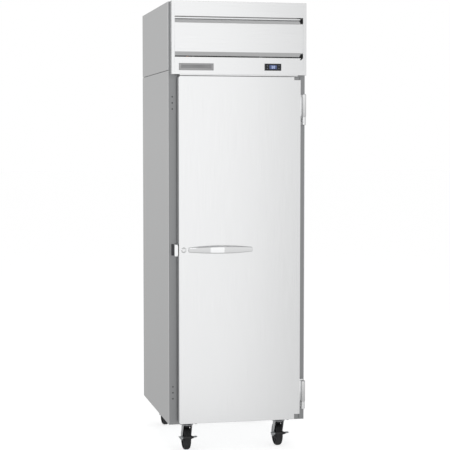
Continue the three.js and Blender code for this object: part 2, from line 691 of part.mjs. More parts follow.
/** Key lock: housing fixed in the door, plug with a cam that swings into the keeper. */
function lock() {
  const flange = rod(12.5, 2.5, "y", [LOCK.x, DOOR_FRONT - 2.8, LOCK.z], 24);
  const bore = rod(6.3, 40, "y", [LOCK.x, DOOR_FRONT - 10, LOCK.z], 16);
  const barrel = rod(9.5, 8.3, "y", [LOCK.x, DOOR_FRONT - 2.8, LOCK.z], 16);
  add("lock_housing", cut(join(flange, barrel), bore), "chrome");
  const plug = rod(6, 12.3, "y", [LOCK.x, DOOR_FRONT - 3.3, LOCK.z], 16);
  const keyway = block([LOCK.x - 0.9, LOCK.x + 0.9], [-60, DOOR_FRONT - 1], [LOCK.z - 3.6, LOCK.z + 3.6]);
  const cam = block([LOCK.x - LOCK.camHalf, LOCK.x + LOCK.camHalf], LOCK.cam,
    [LOCK.z - LOCK.camLength, LOCK.z + 6]);
  add("lock_plug", join(cut(plug, keyway), cam), "chrome");
}

/** Strike on the face frame, open towards the door so that the cam can turn in behind its front. */
function lockKeeper() {
  const z = [951, 1005];
  const plate = block([-322, -296], [-3.3, -GAP], z);
  const post = block([-310, -295], [-50, -3], z);
  const mouth = block([-307, -290], [-47.5, -35], [z[0] + 5, z[1] - 8]);
  add("lock_keeper", cut(join(plate, post), mouth), "chrome");
}

/** Cam-lift hinge: fixed half below with the pin, door half above as a sleeve over the pin. */
function hinge(name, z) {
  const { x, y } = HINGE_AXIS;
  const split = z[0] + (z[1] - z[0]) * 0.27;
  const plate = block([300, 326], [-3.3, -GAP], z);
  const arm = block([x - 5, x + 6], [y, -3], [z[0], split]);
  const base = rod(9.5, split - z[0], "z", [x, y, z[0]], 20);
  const pin = rod(5, 60, "z", [x, y, split - 1], 16);
  add(`${name}_frame_half`, join(plate, arm, base, pin), "chrome");
  const sleeve = rod(10.8, z[1] - split - GAP, "z", [x, y, split + GAP], 24);
  const pinHole = rod(5.4, 64, "z", [x, y, split - 2], 16);
  const leaf = block([DOOR_RIGHT + GAP, DOOR_RIGHT + 3.3], [-50, -14], [split + GAP, z[1]]);
  const web = block([DOOR_RIGHT + 1, x], [-46, -38], [split + GAP, z[1]]);
  add(`${name}_door_half`, cut(join(sleeve, leaf, web), pinHole), "chrome");
}

// ---------------------------------------------------------------- casters

function casterPlaces() {
  const x = HALF_WIDTH - CASTER_INSET;
  return [
    { name: "front_left", x: -x, y: CASTER_SETBACK, braked: true },
    { name: "front_right", x, y: CASTER_SETBACK, braked: true },
    { name: "rear_left", x: -x, y: CABINET_DEPTH - CASTER_SETBACK, braked: false },
    { name: "rear_right", x, y: CABINET_DEPTH - CASTER_SETBACK, braked: false },
  ];
}

/** Swivel fork: crown, two legs trailing back to the wheel, and the axle. */
function casterFork(name, x, y) {
  const crown = rod(30, 5.5, "z", [x, y, 125], 20, 24);
  const axle = { y: y + CASTER_TRAIL, z: WHEEL_RADIUS };
  const leg = new THREE.Shape();
  leg.moveTo(y - 20, 128);
  leg.lineTo(axle.y - 14, axle.z);
  leg.absarc(axle.y, axle.z, 14, Math.PI, Math.PI * 2, false);
  leg.lineTo(y + 22, 128);
  const legs = [-22.5, 19.5].map((side) => alongX(leg, [x + side, x + side + 3], 6));
  const bolt = rod(6, 53, "x", [x - 26.5, axle.y, axle.z], 12);
  add(`caster_fork_${name}`, join(crown, ...legs, bolt), "galvanised");
}

/** Tyre and hub, turned about the axle. */
function casterWheel(name, x, y) {
  const half = 16;
  const profile = [
    [6.3, -half - 2], [13, -half - 2], [13, -half + 6], [44, -half + 6], [46, -half], [54, -half],
    [WHEEL_RADIUS, -half + 5], [WHEEL_RADIUS, half - 5], [54, half], [46, half], [44, half - 6],
    [13, half - 6], [13, half + 2], [6.3, half + 2], [6.3, -half - 2],
  ];
  add(`caster_wheel_${name}`, turned(profile, "x", [x, y + CASTER_TRAIL, WHEEL_RADIUS], 24), "rubberBlack");
}

/** Foot brake: cheeks on the axle ends, a bar across the wheel and a wing on each side. */
function casterBrake(name, x, y) {
  const axle = { y: y + CASTER_TRAIL, z: WHEEL_RADIUS };
  const cheek = new THREE.Shape();
  cheek.moveTo(axle.y - 62, axle.z + 11);
  cheek.lineTo(axle.y, axle.z - 10);
  cheek.absarc(axle.y, axle.z, 10, -Math.PI / 2, Math.PI / 2, false);
  cheek.lineTo(axle.y - 62, axle.z + 18);
  const cheeks = [-25.5, 23].map((side) => alongX(cheek, [x + side, x + side + 2.5], 4));
  const bar = block([x - 25.5, x + 25.5], [axle.y - 66, axle.y - 61.5], [axle.z + 9, axle.z + 19]);
  const wing = (side) => alongY(polygon([
    [x + side * 24, axle.z + 9], [x + side * 44, axle.z + 13], [x + side * 44, axle.z + 15.5],
    [x + side * 24, axle.z + 14],
  ]), [axle.y - 62, axle.y - 34]);
  const bores = rod(6.3, 60, "x", [x - 30, axle.y, axle.z], 12);
  add(`caster_brake_${name}`, cut(join(...cheeks, bar, wing(-1), wing(1)), bores), "enamelBlack");
}

function casters() {
  for (const { name, x, y, braked } of casterPlaces()) {
    casterFork(name, x, y);
    casterWheel(name, x, y);
    if (braked) {
      casterBrake(name, x, y);
    }
  }
}

// ---------------------------------------------------------------- assembly

sidePanels();
backPanel();
baseFrame();
insulation();
innerLiner();
faceFrame();
topDeck();
machineShroud();
headerFrame();
headerPanel();
headerLouver();
nameplate();
controller();
evaporatorCover();
evaporatorCoil();
axialFan("evaporator_fan", [EVAPORATOR_FAN.x, EVAPORATOR_FAN.y, EVAPORATOR_FAN.z], 14, EVAPORATOR_FAN.radius,
  20, 5, "plasticBlack");
ledLight();
pilasters();
shelves();
compressor();
condenserCoil();
condenserFanMotor();
axialFan("condenser_fan", [CONDENSER_FAN.x, CONDENSER_FAN.y, CONDENSER_FAN.z], 22, 100, 28, 5, "aluminium");
refrigerantLines();
condensatePan();
electricalBox();
doorSkin();
doorFoam();
doorHingeStile();
doorLiner();
doorGasket();
doorHandle();
lock();
lockKeeper();
hinge("hinge_top", [1563, 1709]);
hinge("hinge_bottom", [205, 343]);
casters();

const frontmost = DOOR_FRONT - HANDLE_PROUD;
assembly.position.y = -(frontmost + CABINET_DEPTH) / 2;

const product = new THREE.Group();
product.add(assembly);
export default product;
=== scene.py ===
import json
import math
from itertools import product
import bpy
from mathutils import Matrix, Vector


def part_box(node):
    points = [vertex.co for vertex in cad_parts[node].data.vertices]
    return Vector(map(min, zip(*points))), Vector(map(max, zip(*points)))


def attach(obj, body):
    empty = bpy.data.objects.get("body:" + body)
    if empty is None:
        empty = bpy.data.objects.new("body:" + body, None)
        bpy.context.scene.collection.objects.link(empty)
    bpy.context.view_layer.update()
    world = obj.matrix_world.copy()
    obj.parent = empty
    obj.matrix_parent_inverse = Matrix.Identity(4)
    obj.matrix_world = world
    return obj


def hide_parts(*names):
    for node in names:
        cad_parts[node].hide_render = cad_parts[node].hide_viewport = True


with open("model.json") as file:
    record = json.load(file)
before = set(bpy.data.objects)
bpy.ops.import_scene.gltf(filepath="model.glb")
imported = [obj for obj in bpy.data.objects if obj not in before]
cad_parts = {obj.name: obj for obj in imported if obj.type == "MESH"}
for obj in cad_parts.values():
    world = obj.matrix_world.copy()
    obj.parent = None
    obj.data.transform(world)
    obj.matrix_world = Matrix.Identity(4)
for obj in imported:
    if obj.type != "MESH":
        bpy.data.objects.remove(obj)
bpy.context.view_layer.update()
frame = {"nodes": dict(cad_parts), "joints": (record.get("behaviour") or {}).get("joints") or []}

from types import SimpleNamespace

import bmesh
import bpy
from mathutils import Matrix, Vector

NODES = frame["nodes"]
JOINTS = {joint["name"]: joint for joint in frame["joints"]}

# Pieces are made in millimetres, and piece() brings them to the frame's metres: MM is one millimetre.
# GAP is the clearance between pieces that meet.
MM = 0.001
GAP = 0.3

RIGHT, BACK, UP = Vector((1, 0, 0)), Vector((0, 1, 0)), Vector((0, 0, 1))
FRONT, DOWN = -BACK, -UP
CORNERS = ("front_left", "front_right", "rear_left", "rear_right")
SHELVES = ("lower", "middle", "upper")


# ---- places from the frame

def place(node):
    """Lowest and highest corner, middle and size of a CAD node at rest, in millimetres."""
    low, high = (Vector(corner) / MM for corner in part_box(node))
    return SimpleNamespace(lo=low, hi=high, mid=(low + high) / 2, size=high - low)


def ends(box, axis, inset):
    """Low and high end of a box along an axis, each moved inwards."""
    return getattr(box.lo, axis) + inset, getattr(box.hi, axis) - inset


def pivot(joint):
    """Point that a joint turns about at rest, in millimetres."""
    return Vector(JOINTS[joint]["pos_m"]) / MM


# ---- outlines and paths

def arc(centre, radius, start, sweep, steps):
    """Points on a circle from a start angle through a sweep, both ends included."""
    angles = (start + sweep * step / steps for step in range(steps + 1))
    return [(centre[0] + radius * math.cos(a), centre[1] + radius * math.sin(a)) for a in angles]


def circle(radius, steps, centre=(0, 0)):
    """Points all the way round a circle."""
    return arc(centre, radius, 0, math.tau, steps)[:-1]


def rounded(a, b, radius, corner_steps=5):
    """Outline of a rectangle with round corners, from (low, high) pairs."""
    quarter = math.pi / 2
    centres = [(a[1] - radius, b[1] - radius), (a[0] + radius, b[1] - radius),
               (a[0] + radius, b[0] + radius), (a[1] - radius, b[0] + radius)]
    return [point for number, centre in enumerate(centres)
            for point in arc(centre, radius, number * quarter, quarter, corner_steps)]


def smooth_path(points, steps=8):
    """Catmull-Rom curve through the points."""
    points = [Vector(point) for point in points]
    stops = [points[0] * 2 - points[1], *points, points[-1] * 2 - points[-2]]
    path = []
    for a, b, c, d in zip(stops, stops[1:], stops[2:], stops[3:]):
        for step in range(steps):
            t = step / steps
            path.append(0.5 * (2 * b + (c - a) * t + (2 * a - 5 * b + 4 * c - d) * t * t
                               + (3 * b - a - 3 * c + d) * t ** 3))
    path.append(points[-1])
    return path


def mirrored(profile):
    """A turned profile's one side, led in by its mirror image."""
    return [(radius, -along) for radius, along in profile] + profile[::-1]


def scaled(pairs, factor):
    return [(a * factor, b * factor) for a, b in pairs]


def spread(first, last, count):
    """Evenly spaced places, both ends included."""
    return [first + (last - first) * number / (count - 1) for number in range(count)]


# ---- shapes

class Shape:
    """Collects the solids of one piece."""

    def __init__(self):
        self.bm = bmesh.new()

    def box(self, lo, hi, bevel=0.0, segments=2):
        """Box between two corners, with rounded edges where a bevel is given."""
        made = bmesh.ops.create_cube(self.bm, size=1)["verts"]
        for vert in made:
            vert.co = Vector(lo[i] + (vert.co[i] + 0.5) * (hi[i] - lo[i]) for i in range(3))
        if bevel:
            edges = list(dict.fromkeys(edge for vert in made for edge in vert.link_edges))
            bmesh.ops.bevel(self.bm, geom=edges, offset=bevel, segments=segments, profile=0.5,
                            affect="EDGES")
        return self

    def skin(self, rows, closed):
        """Faces between neighbouring rows of vertices; a row of one vertex is a tip."""
        links = list(zip(rows, rows[1:]))
        if closed:
            links.append((rows[-1], rows[0]))
        for one, two in links:
            for i in range(max(len(one), len(two))):
                corners = (one[i % len(one)], one[(i + 1) % len(one)],
                           two[(i + 1) % len(two)], two[i % len(two)])
                face = list(dict.fromkeys(corners))
                if len(face) > 2:
                    self.bm.faces.new(face)
        return self

    def loft(self, rings, closed=False):
        """Skin over rings of points, capped at both ends unless it closes on itself."""
        rows = [[self.bm.verts.new(point) for point in ring] for ring in rings]
        self.skin(rows, closed)
        if not closed:
            self.bm.faces.new(rows[0])
            self.bm.faces.new(rows[-1])
        return self

    def turned(self, profile, origin, axis, segments=48, ring=False):
        """Spins (radius, distance along the axis) pairs about an axis from an origin. A ring's profile
        closes on itself; any other starts and ends on the axis."""
        origin = Vector(origin)
        turn = UP.rotation_difference(Vector(axis).normalized())
        rows = []
        for radius, along in profile:
            spots = circle(radius, segments) if radius > 0 else [(0, 0)]
            rows.append([self.bm.verts.new(origin + turn @ Vector((x, y, along))) for x, y in spots])
        return self.skin(rows, ring)

    def cylinder(self, start, end, radius, segments=32, bevel=0.0):
        start, end = Vector(start), Vector(end)
        length = (end - start).length
        edge = min(bevel, radius / 2, length / 2)
        profile = [(0, 0), (radius, 0), (radius, length), (0, length)]
        if edge:
            profile[1:3] = [(radius - edge, 0), (radius, edge), (radius, length - edge),
                            (radius - edge, length)]
        return self.turned(profile, start, end - start, segments)

    def tube(self, points, radius, sides=12, closed=False):
        """Round bar along a row of points."""
        points = [Vector(point) for point in points]
        count = len(points)
        rings = []
        normal = None
        for i, point in enumerate(points):
            before = points[i - 1] if (i or closed) else point
            after = points[(i + 1) % count] if (i < count - 1 or closed) else point
            along = (after - before).normalized()
            if normal is None:
                helper = UP if abs(along.z) < 0.9 else RIGHT
                normal = along.cross(helper).normalized()
            normal = (normal - along * normal.dot(along)).normalized()
            side = along.cross(normal)
            rings.append([point + a * normal + b * side for a, b in circle(radius, sides)])
        return self.loft(rings, closed)

    def prism(self, outline, axis, low, high):
        """Outline of 2-D points, run along x, y or z. The points' axes are the other two, in order."""
        slot = "xyz".index(axis)
        return self.loft([[(*point[:slot], end, *point[slot:]) for point in outline]
                          for end in (low, high)])

    def join(self, other, matrix):
        """Takes in another shape, moved by a matrix."""
        mesh = bpy.data.meshes.new("part")
        other.bm.to_mesh(mesh)
        other.bm.free()
        mesh.transform(matrix)
        self.bm.from_mesh(mesh)
        bpy.data.meshes.remove(mesh)
        return self

    def screw(self, point, axis, radius):
        """Pan head with a round socket, standing on the surface at the point."""
        head = [(0, 0), (1, 0), (1, 0.25), (0.8, 0.6), (0.42, 0.72), (0.36, 0.35), (0, 0.35)]
        return self.turned(scaled(head, radius), point, axis, 20)

    def hex_bolt(self, point, axis, radius):
        """Hexagon head on a washer."""
        washer = [(0, 0), (1.35, 0), (1.35, 0.2), (0, 0.2)]
        head = [(0, 0.2), (1, 0.2), (1, 0.75), (0.85, 0.9), (0, 0.9)]
        self.turned(scaled(washer, radius), point, axis, 24)
        return self.turned(scaled(head, radius), point, axis, 6)


def show(name, data):
    """Adds an object with its data to the scene."""
    obj = bpy.data.objects.new(name, data)
    bpy.context.scene.collection.objects.link(obj)
    return obj


def piece(name, shape, material, body, slot, *replaced, sharp=35):
    """Turns a shape into an object that rides on a body."""
    bmesh.ops.recalc_face_normals(shape.bm, faces=shape.bm.faces)
    mesh = bpy.data.meshes.new(name)
    shape.bm.to_mesh(mesh)
    shape.bm.free()
    mesh.transform(Matrix.Scale(MM, 4))
    for polygon in mesh.polygons:
        polygon.use_smooth = True
    mesh.set_sharp_from_angle(angle=math.radians(sharp))
    mesh.materials.append(material)
    obj = show(name, mesh)
    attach(obj, body)
    if replaced:
        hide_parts(*replaced)
    return obj


def soften(obj, width, segments=2):
    """Rounds the sharp edges of an object by a width in millimetres."""
    rounding = obj.modifiers.new("rounding", "BEVEL")
    rounding.width = width * MM
    rounding.segments = segments
    rounding.limit_method = "ANGLE"
    rounding.angle_limit = math.radians(40)
    rounding.use_clamp_overlap = True


def dress(node, material, bevel):
    """Gives a CAD node its material and, where asked, slightly rounded edges."""
    obj = NODES[node]
    obj.data.materials.clear()
    obj.data.materials.append(material)
    if bevel:
        weld = obj.modifiers.new("weld", "WELD")
        weld.merge_threshold = 0.02 * MM
        soften(obj, bevel)


# ---- materials

class Graph:
    """Small helper for building a node tree."""

    def __init__(self, tree):
        self.tree = tree
        self.coords = self.add("ShaderNodeTexCoord").outputs

    def add(self, kind, **inputs):
        """New node with a value or a link for each socket named."""
        node = self.tree.nodes.new(kind)
        self.fill(node, **inputs)
        return node

    def fill(self, node, **inputs):
        """Gives each named socket a value or a link; an underscore stands for a space."""
        for key, value in inputs.items():
            socket = node.inputs[key.replace("_", " ")]
            if isinstance(value, bpy.types.NodeSocket):
                self.link(value, socket)
            else:
                socket.default_value = value

    def link(self, source, target):
        self.tree.links.new(source, target)

    def ranged(self, value, low, high, source_low=0.25, source_high=0.75):
        """Maps a value from its source range to another."""
        return self.add("ShaderNodeMapRange", Value=value, From_Min=source_low, From_Max=source_high,
                        To_Min=low, To_Max=high).outputs["Result"]

    def ramp(self, value, stops):
        """Colour between (position, colour) stops, by a value."""
        node = self.add("ShaderNodeValToRGB", Fac=value)
        elements = node.color_ramp.elements
        while len(elements) < len(stops):
            elements.new(0.5)
        for element, (position, colour) in zip(elements, stops):
            element.position = position
            element.color = (*colour, 1)
        return node.outputs["Color"]


class Finish(Graph):
    """Material whose look comes from its nodes."""

    def __init__(self, name, colour, **inputs):
        self.material = bpy.data.materials.new(name)
        self.material.use_nodes = True
        super().__init__(self.material.node_tree)
        self.shader = self.tree.nodes["Principled BSDF"]
        self.fill(self.shader, Base_Color=(*colour, 1), **inputs)

    def noise(self, scale, detail=3.0, rough=0.55, stretch=(1, 1, 1)):
        """Noise over the object's own metres, stretched on each axis."""
        mapping = self.add("ShaderNodeMapping", Vector=self.coords["Object"], Scale=stretch)
        return self.add("ShaderNodeTexNoise", Vector=mapping.outputs["Vector"], Scale=scale,
                        Detail=detail, Roughness=rough).outputs["Fac"]

    def shades(self, value, colour, low, high, at_low=0.35, at_high=0.65):
        """Base colour from a darker to a lighter shade of one colour, by a value."""
        stops = [(at, [min(1.0, channel * factor) for channel in colour])
                 for at, factor in ((at_low, low), (at_high, high))]
        self.fill(self.shader, Base_Color=self.ramp(value, stops))

    def rough(self, value):
        self.fill(self.shader, Roughness=value)

    def bump(self, value, strength, distance=0.2 * MM):
        bump = self.add("ShaderNodeBump", Height=value, Strength=strength, Distance=distance)
        self.fill(self.shader, Normal=bump.outputs["Normal"])


def brushed(name, colour, rough, grain, vary=0.05, depth=0.03):
    """Brushed steel: fine streaks along the axis whose stretch is small."""
    look = Finish(name, colour, Metallic=1.0, Anisotropic=0.35)
    streak = look.noise(9.0, detail=6.0, rough=0.7, stretch=grain)
    cloud = look.noise(2.3, detail=2.0)
    look.shades(streak, colour, 0.975, 1.02)
    total = look.add("ShaderNodeMath")
    look.link(look.ranged(streak, -vary / 2, vary / 2), total.inputs[0])
    look.link(look.ranged(cloud, rough - vary / 3, rough + vary / 3), total.inputs[1])
    look.rough(total.outputs[0])
    look.bump(streak, depth)
    return look.material


def polished(name, colour, rough=0.06):
    """Chrome plate with a faint orange peel and fine wipe marks."""
    look = Finish(name, colour, Metallic=1.0)
    wipe = look.noise(60.0, detail=4.0, stretch=(1, 1, 5))
    look.rough(look.ranged(wipe, rough * 0.7, rough * 1.5))
    look.bump(look.noise(220.0, detail=1.0), 0.02)
    return look.material


def plated(name, colour, rough=0.38, spangle=80.0):
    """Zinc-coated sheet: patchy crystals."""
    look = Finish(name, colour, Metallic=0.85)
    cells = look.add("ShaderNodeTexVoronoi", Vector=look.coords["Object"], Scale=spangle)
    tone = look.add("ShaderNodeSeparateColor", Color=cells.outputs["Color"]).outputs
    look.shades(tone["Red"], colour, 0.95, 1.04, 0.0, 1.0)
    look.rough(look.ranged(tone["Green"], rough - 0.03, rough + 0.04, 0.0, 1.0))
    look.bump(look.noise(90.0), 0.05, 0.3 * MM)
    return look.material


def moulded(name, colour, rough=0.45, grain=900.0, depth=0.12, coat=0.0):
    """Plastic or paint with a fine moulded or sprayed texture."""
    look = Finish(name, colour, Coat_Weight=coat, Coat_Roughness=0.15)
    patch = look.noise(14.0)
    look.shades(patch, colour, 0.9, 1.12)
    look.rough(look.ranged(patch, rough - 0.05, rough + 0.06))
    look.bump(look.noise(grain, detail=2.0), depth)
    return look.material


def rubber(name, colour, rough=0.7):
    """Matt rubber or vinyl with a little dust."""
    look = Finish(name, colour, Specular_IOR_Level=0.35)
    dust = look.noise(35.0, detail=5.0)
    look.shades(dust, colour, 0.8, 1.5, 0.4, 0.75)
    look.rough(look.ranged(dust, rough - 0.1, rough + 0.12))
    look.bump(look.noise(600.0), 0.15)
    return look.material


def foam(name, colour):
    """Rigid foam with open cells."""
    look = Finish(name, colour, Roughness=0.95)
    cells = look.noise(300.0, detail=4.0)
    look.shades(cells, colour, 0.75, 1.05)
    look.bump(cells, 0.5, 1.0 * MM)
    return look.material


def lamp(name, colour, strength, rough=0.3):
    """Translucent lens lit from within."""
    look = Finish(name, colour, Roughness=rough, Emission_Color=(*colour, 1), Emission_Strength=strength,
                  Subsurface_Weight=0.1)
    look.bump(look.noise(500.0), 0.05)
    return look.material


VERTICAL = (45, 45, 0.7)
SIDEWAYS = (0.7, 45, 45)
STAINLESS = (0.86, 0.865, 0.87)

STEEL_FRONT = brushed("stainless_front", STAINLESS, 0.17, VERTICAL, 0.02, 0.012)
STEEL_HEADER = brushed("stainless_header", STAINLESS, 0.18, SIDEWAYS, 0.02, 0.012)
STEEL_SIDE = brushed("stainless_side", STAINLESS, 0.13, VERTICAL, 0.02, 0.012)
# Painted shade: the face frame and hinge stile are the same stainless steel, made darker to stand in for
# the shade in the recess behind the door's edge.
STEEL_FRAME_PAINTED_SHADE = brushed("frame_steel", (0.33, 0.335, 0.34), 0.36, VERTICAL)
ZINC = plated("galvanised", (0.55, 0.57, 0.58))
ZINC_BRIGHT = plated("caster_zinc", (0.6, 0.61, 0.62), 0.32, 140.0)
CHROME = polished("chrome", (0.9, 0.905, 0.91))
CHROME_SATIN = polished("hinge_chrome", (0.88, 0.885, 0.89), 0.2)
LINER = brushed("liner_aluminium", (0.78, 0.79, 0.8), 0.42, SIDEWAYS, 0.08)
FINS = brushed("coil_aluminium", (0.7, 0.72, 0.74), 0.4, (30, 30, 2))
COPPER = polished("copper", (0.8, 0.42, 0.26), 0.28)
SHELF_COAT = moulded("shelf_coating", (0.74, 0.75, 0.74), 0.35, 500.0, 0.05, 0.4)
PILASTER = brushed("pilaster_steel", (0.66, 0.67, 0.68), 0.35, VERTICAL)
GASKET = rubber("gasket_vinyl", (0.11, 0.115, 0.12), 0.55)
TREAD = rubber("wheel_tread", (0.018, 0.018, 0.019), 0.6)
WHEEL_CORE = moulded("wheel_core", (0.03, 0.03, 0.032), 0.4)
PLATE = brushed("blank_nameplate", (0.5, 0.5, 0.505), 0.45, SIDEWAYS)
PLATE_INK = moulded("nameplate_inlay", (0.27, 0.27, 0.275), 0.5)
BLACK_PLASTIC = moulded("controller_black", (0.014, 0.015, 0.018), 0.35)
KEY_PLASTIC = moulded("key_black", (0.022, 0.023, 0.026), 0.5)
FAN_PLASTIC = moulded("fan_plastic", (0.03, 0.03, 0.033), 0.45)
ENAMEL = moulded("black_enamel", (0.02, 0.02, 0.022), 0.3, 260.0, 0.08, 0.3)
FOAM = foam("polyurethane_foam", (0.72, 0.6, 0.36))
LENS = lamp("lamp_lens", (0.93, 0.95, 1.0), 0.6)
DISPLAY = lamp("display_window", (0.05, 0.07, 0.16), 0.5, 0.1)
DIGIT = lamp("display_digit", (0.6, 0.68, 0.9), 0.9, 0.2)
# Dark plastic for the hinge hole plugs, and painted shadow for the seat round the lock strike.
DARK_PLUG_AND_SHADOW = moulded("dark_plug_and_painted_shadow", (0.05, 0.05, 0.055), 0.5)
BRAKE = moulded("brake_enamel", (0.02, 0.02, 0.021), 0.6)
# Painted shade: near-black for the dark openings at the air slots' right ends.
SLOT_END_SHADE = moulded("slot_shade_black", (0.004, 0.004, 0.004), 0.8)
MARK = moulded("key_mark", (0.45, 0.47, 0.5), 0.5)


# ---- carried-over CAD nodes

# Material, edge rounding and the nodes that take them.
DRESSED = [
    (STEEL_SIDE, 0.5, ("side_panel_left", "side_panel_right", "machine_shroud")),
    (STEEL_FRONT, 0.5, ("door_skin",)),
    (STEEL_HEADER, 0.5, ("header_frame", "header_panel", "header_louver")),
    # Painted shade: these two nodes take the darker copy of the stainless steel.
    (STEEL_FRAME_PAINTED_SHADE, 0.4, ("face_frame",)),
    (STEEL_FRAME_PAINTED_SHADE, 0.8, ("door_hinge_stile",)),
    (ZINC, 0.4, ("back_panel", "base_frame", "top_deck")),
    (FOAM, 0, ("insulation", "door_foam")),
    (LINER, 0.6, ("inner_liner", "door_liner", "evaporator_cover")),
    (BLACK_PLASTIC, 0.6, ("controller_bezel",)),
]


def dress_nodes():
    for material, bevel, nodes in DRESSED:
        for node in nodes:
            dress(node, material, bevel)


# ---- door fittings

def superellipse(value, power):
    return math.copysign(abs(value) ** power, value)


def door_handle():
    """Bowed grip: flat face, rolled edges, deepest and tallest in the middle."""
    box = place("door_handle")
    line = pivot("lock_turn").z
    half = box.size.x / 2
    end_half, root, thick, blunt, end_scale = 10.5, 8, 8, 3, 0.45
    depth_power, height_power = 0.55, 0.3
    top_crown = box.hi.z - line - end_half
    bottom_crown = line - end_half - box.lo.z
    stations, around = 48, 36
    rings = []
    for station in range(stations + 1):
        t = math.sin(math.pi / 2 * (2 * station / stations - 1))
        crown = 1 - t * t
        to_end = min(1.0, (1 - abs(t)) * half / blunt)
        scale = end_scale + (1 - end_scale) * math.sqrt(1 - (1 - to_end) ** 2)
        front = box.hi.y - root - (box.size.y - root) * crown
        inner = min(box.hi.y, front + thick)
        top = line + end_half + top_crown * crown
        bottom = line - end_half - bottom_crown * crown
        deep, tall = scale * (inner - front) / 2, scale * (top - bottom) / 2
        rings.append([(box.mid.x + half * t, (front + inner) / 2 + deep * superellipse(a, depth_power),
                       (top + bottom) / 2 + tall * superellipse(b, height_power))
                      for a, b in circle(1, around)])
    piece("door_grip", Shape().loft(rings), CHROME, "door", "chrome", "door_handle", sharp=60)


def door_lock():
    """Chamfered escutcheon, slotted plug and the cam behind it."""
    centre, cam = pivot("lock_turn"), place("lock_plug")
    face = place("door_skin").lo.y
    front = face - GAP
    flange = place("lock_housing").size.x / 2
    bore, shank, sunk = 6.3, 9.4, 8
    rim = [(bore, -sunk), (bore, 2.2), (bore + 1.2, 2.5), (flange * 0.72, 2.3), (flange * 0.96, 0.9),
           (flange, 0), (shank, 0), (shank, -sunk)]
    escutcheon = Shape().turned(rim, (centre.x, front, centre.z), FRONT, ring=True)
    piece("lock_escutcheon", escutcheon, CHROME_SATIN, "door", "chrome", "lock_housing")
    radius, slot_half, slot_depth, reach = 6, 0.9, 1.6, 9
    barrel = Shape().cylinder((centre.x, front + reach, centre.z), (centre.x, front, centre.z), radius)
    start = math.asin(slot_half / radius)
    for side in (-1, 1):
        lip = arc((centre.x, centre.z), radius, side * start, side * (math.pi - 2 * start), 12)
        barrel.prism(lip, "y", front - slot_depth, front)
    cam_half, cam_top = 5, 6
    barrel.box((centre.x - cam_half, face + reach, cam.lo.z),
               (centre.x + cam_half, cam.hi.y, centre.z + cam_top), 0.8)
    piece("lock_barrel", barrel, CHROME_SATIN, "lock_plug", "chrome", "lock_plug")


def lock_strike():
    """Bright strike on a dark seat, open towards the door. The dark seat is painted shadow round the
    strike.
    """
    box = place("lock_keeper")
    plate, inset, overhang, cap, mouth, wall, lip, post_left = 3, 5, 1, 6.5, 15, 3, 2.4, 12
    plate_front = box.hi.y - plate
    # Painted shadow: the dark seat plate stands in for the shade round the strike post.
    seat = Shape().box((box.lo.x + inset, plate_front, box.lo.z), box.hi, 1)
    piece("strike_shadow_seat", seat, DARK_PLUG_AND_SHADOW, "cabinet", "chrome", "lock_keeper")
    left, right = box.lo.x + post_left, box.hi.x + overhang
    front, back = box.lo.y, plate_front + 0.5
    channel = [(left, front), (right, front), (right, front + lip), (left + wall, front + lip),
               (left + wall, front + mouth), (right, front + mouth), (right, back), (left, back)]
    post = Shape().prism(channel, "z", *ends(box, "z", cap))
    for low, high in ((box.lo.z, box.lo.z + cap), (box.hi.z - cap, box.hi.z)):
        post.prism(rounded((left, right), (front, back), 1.6), "z", low, high)
    piece("strike_post", post, CHROME, "cabinet", "chrome", "lock_keeper")


HINGE_EDGE = 1.6
HINGE_SCREW = 3.6


def hinge_sleeve(end):
    """Door half of a lift-off hinge: a sleeve with a blind bore, a web and a screwed leaf."""
    node = f"hinge_{end}_door_half"
    box, axis = place(node), pivot("door_hinge")
    radius, height = box.hi.x - axis.x, box.size.z
    edge, bore, depth = HINGE_EDGE, 5.4, 0.6 * height
    leaf_thick, leaf_front, leaf_back, screw_back = 3, 2, 28, 18
    web_inset, web_front, web_back = 1, 3, 9
    sleeve = [(0, height), (radius - 3 * edge, height), (radius - edge, height - 0.6 * edge),
              (radius, height - 2 * edge), (radius, edge), (radius - edge / 2, 0), (bore, 0),
              (bore, depth), (0, depth)]
    shape = Shape().turned(sleeve, (axis.x, axis.y, box.lo.z), UP)
    leaf = box.lo.x + leaf_thick
    shape.box((box.lo.x, axis.y + leaf_front, box.lo.z), (leaf, axis.y + leaf_back, box.hi.z), 0.8)
    shape.box((box.lo.x + web_inset, axis.y + web_front, box.lo.z + edge),
              (axis.x, axis.y + web_back, box.hi.z - edge), 1)
    for part in (0.2, 0.5, 0.8):
        shape.screw((leaf, axis.y + screw_back, box.lo.z + part * height), RIGHT, HINGE_SCREW)
    piece(f"hinge_{end}_sleeve", shape, CHROME_SATIN, "door", "hinge_chrome", node)


def hinge_base(end):
    """Frame half of the hinge: base, pin, web and a screwed plate."""
    node = f"hinge_{end}_frame_half"
    box, door, axis = place(node), place(f"hinge_{end}_door_half"), pivot("door_hinge")
    edge, pin, pin_top, step_in = HINGE_EDGE, 5, 98, 1.3
    web_left, web_right, plate_thick, plate_left = 5, 6, 3, 14
    radius = door.hi.x - axis.x - step_in
    low, top = box.lo.z, door.lo.z - GAP
    tall = top - low
    base = [(0, 0), (radius - edge, 0), (radius, edge), (radius, tall - edge / 2),
            (radius - edge / 2, tall), (0, tall)]
    shape = Shape().turned(base, (axis.x, axis.y, low), UP)
    shape.cylinder((axis.x, axis.y, top - 1), (axis.x, axis.y, low + pin_top), pin, bevel=1)
    plate_front = box.hi.y - plate_thick
    shape.box((axis.x - web_left, axis.y, low), (axis.x + web_right, plate_front + 1, top), 0.8)
    shape.box((axis.x - plate_left, plate_front, low), box.hi, 0.7)
    for part in (0.38, 0.62, 0.86):
        shape.screw((axis.x + 1, plate_front, low + part * box.size.z), FRONT, HINGE_SCREW)
    piece(f"hinge_{end}_base", shape, CHROME_SATIN, "cabinet", "hinge_chrome", node)


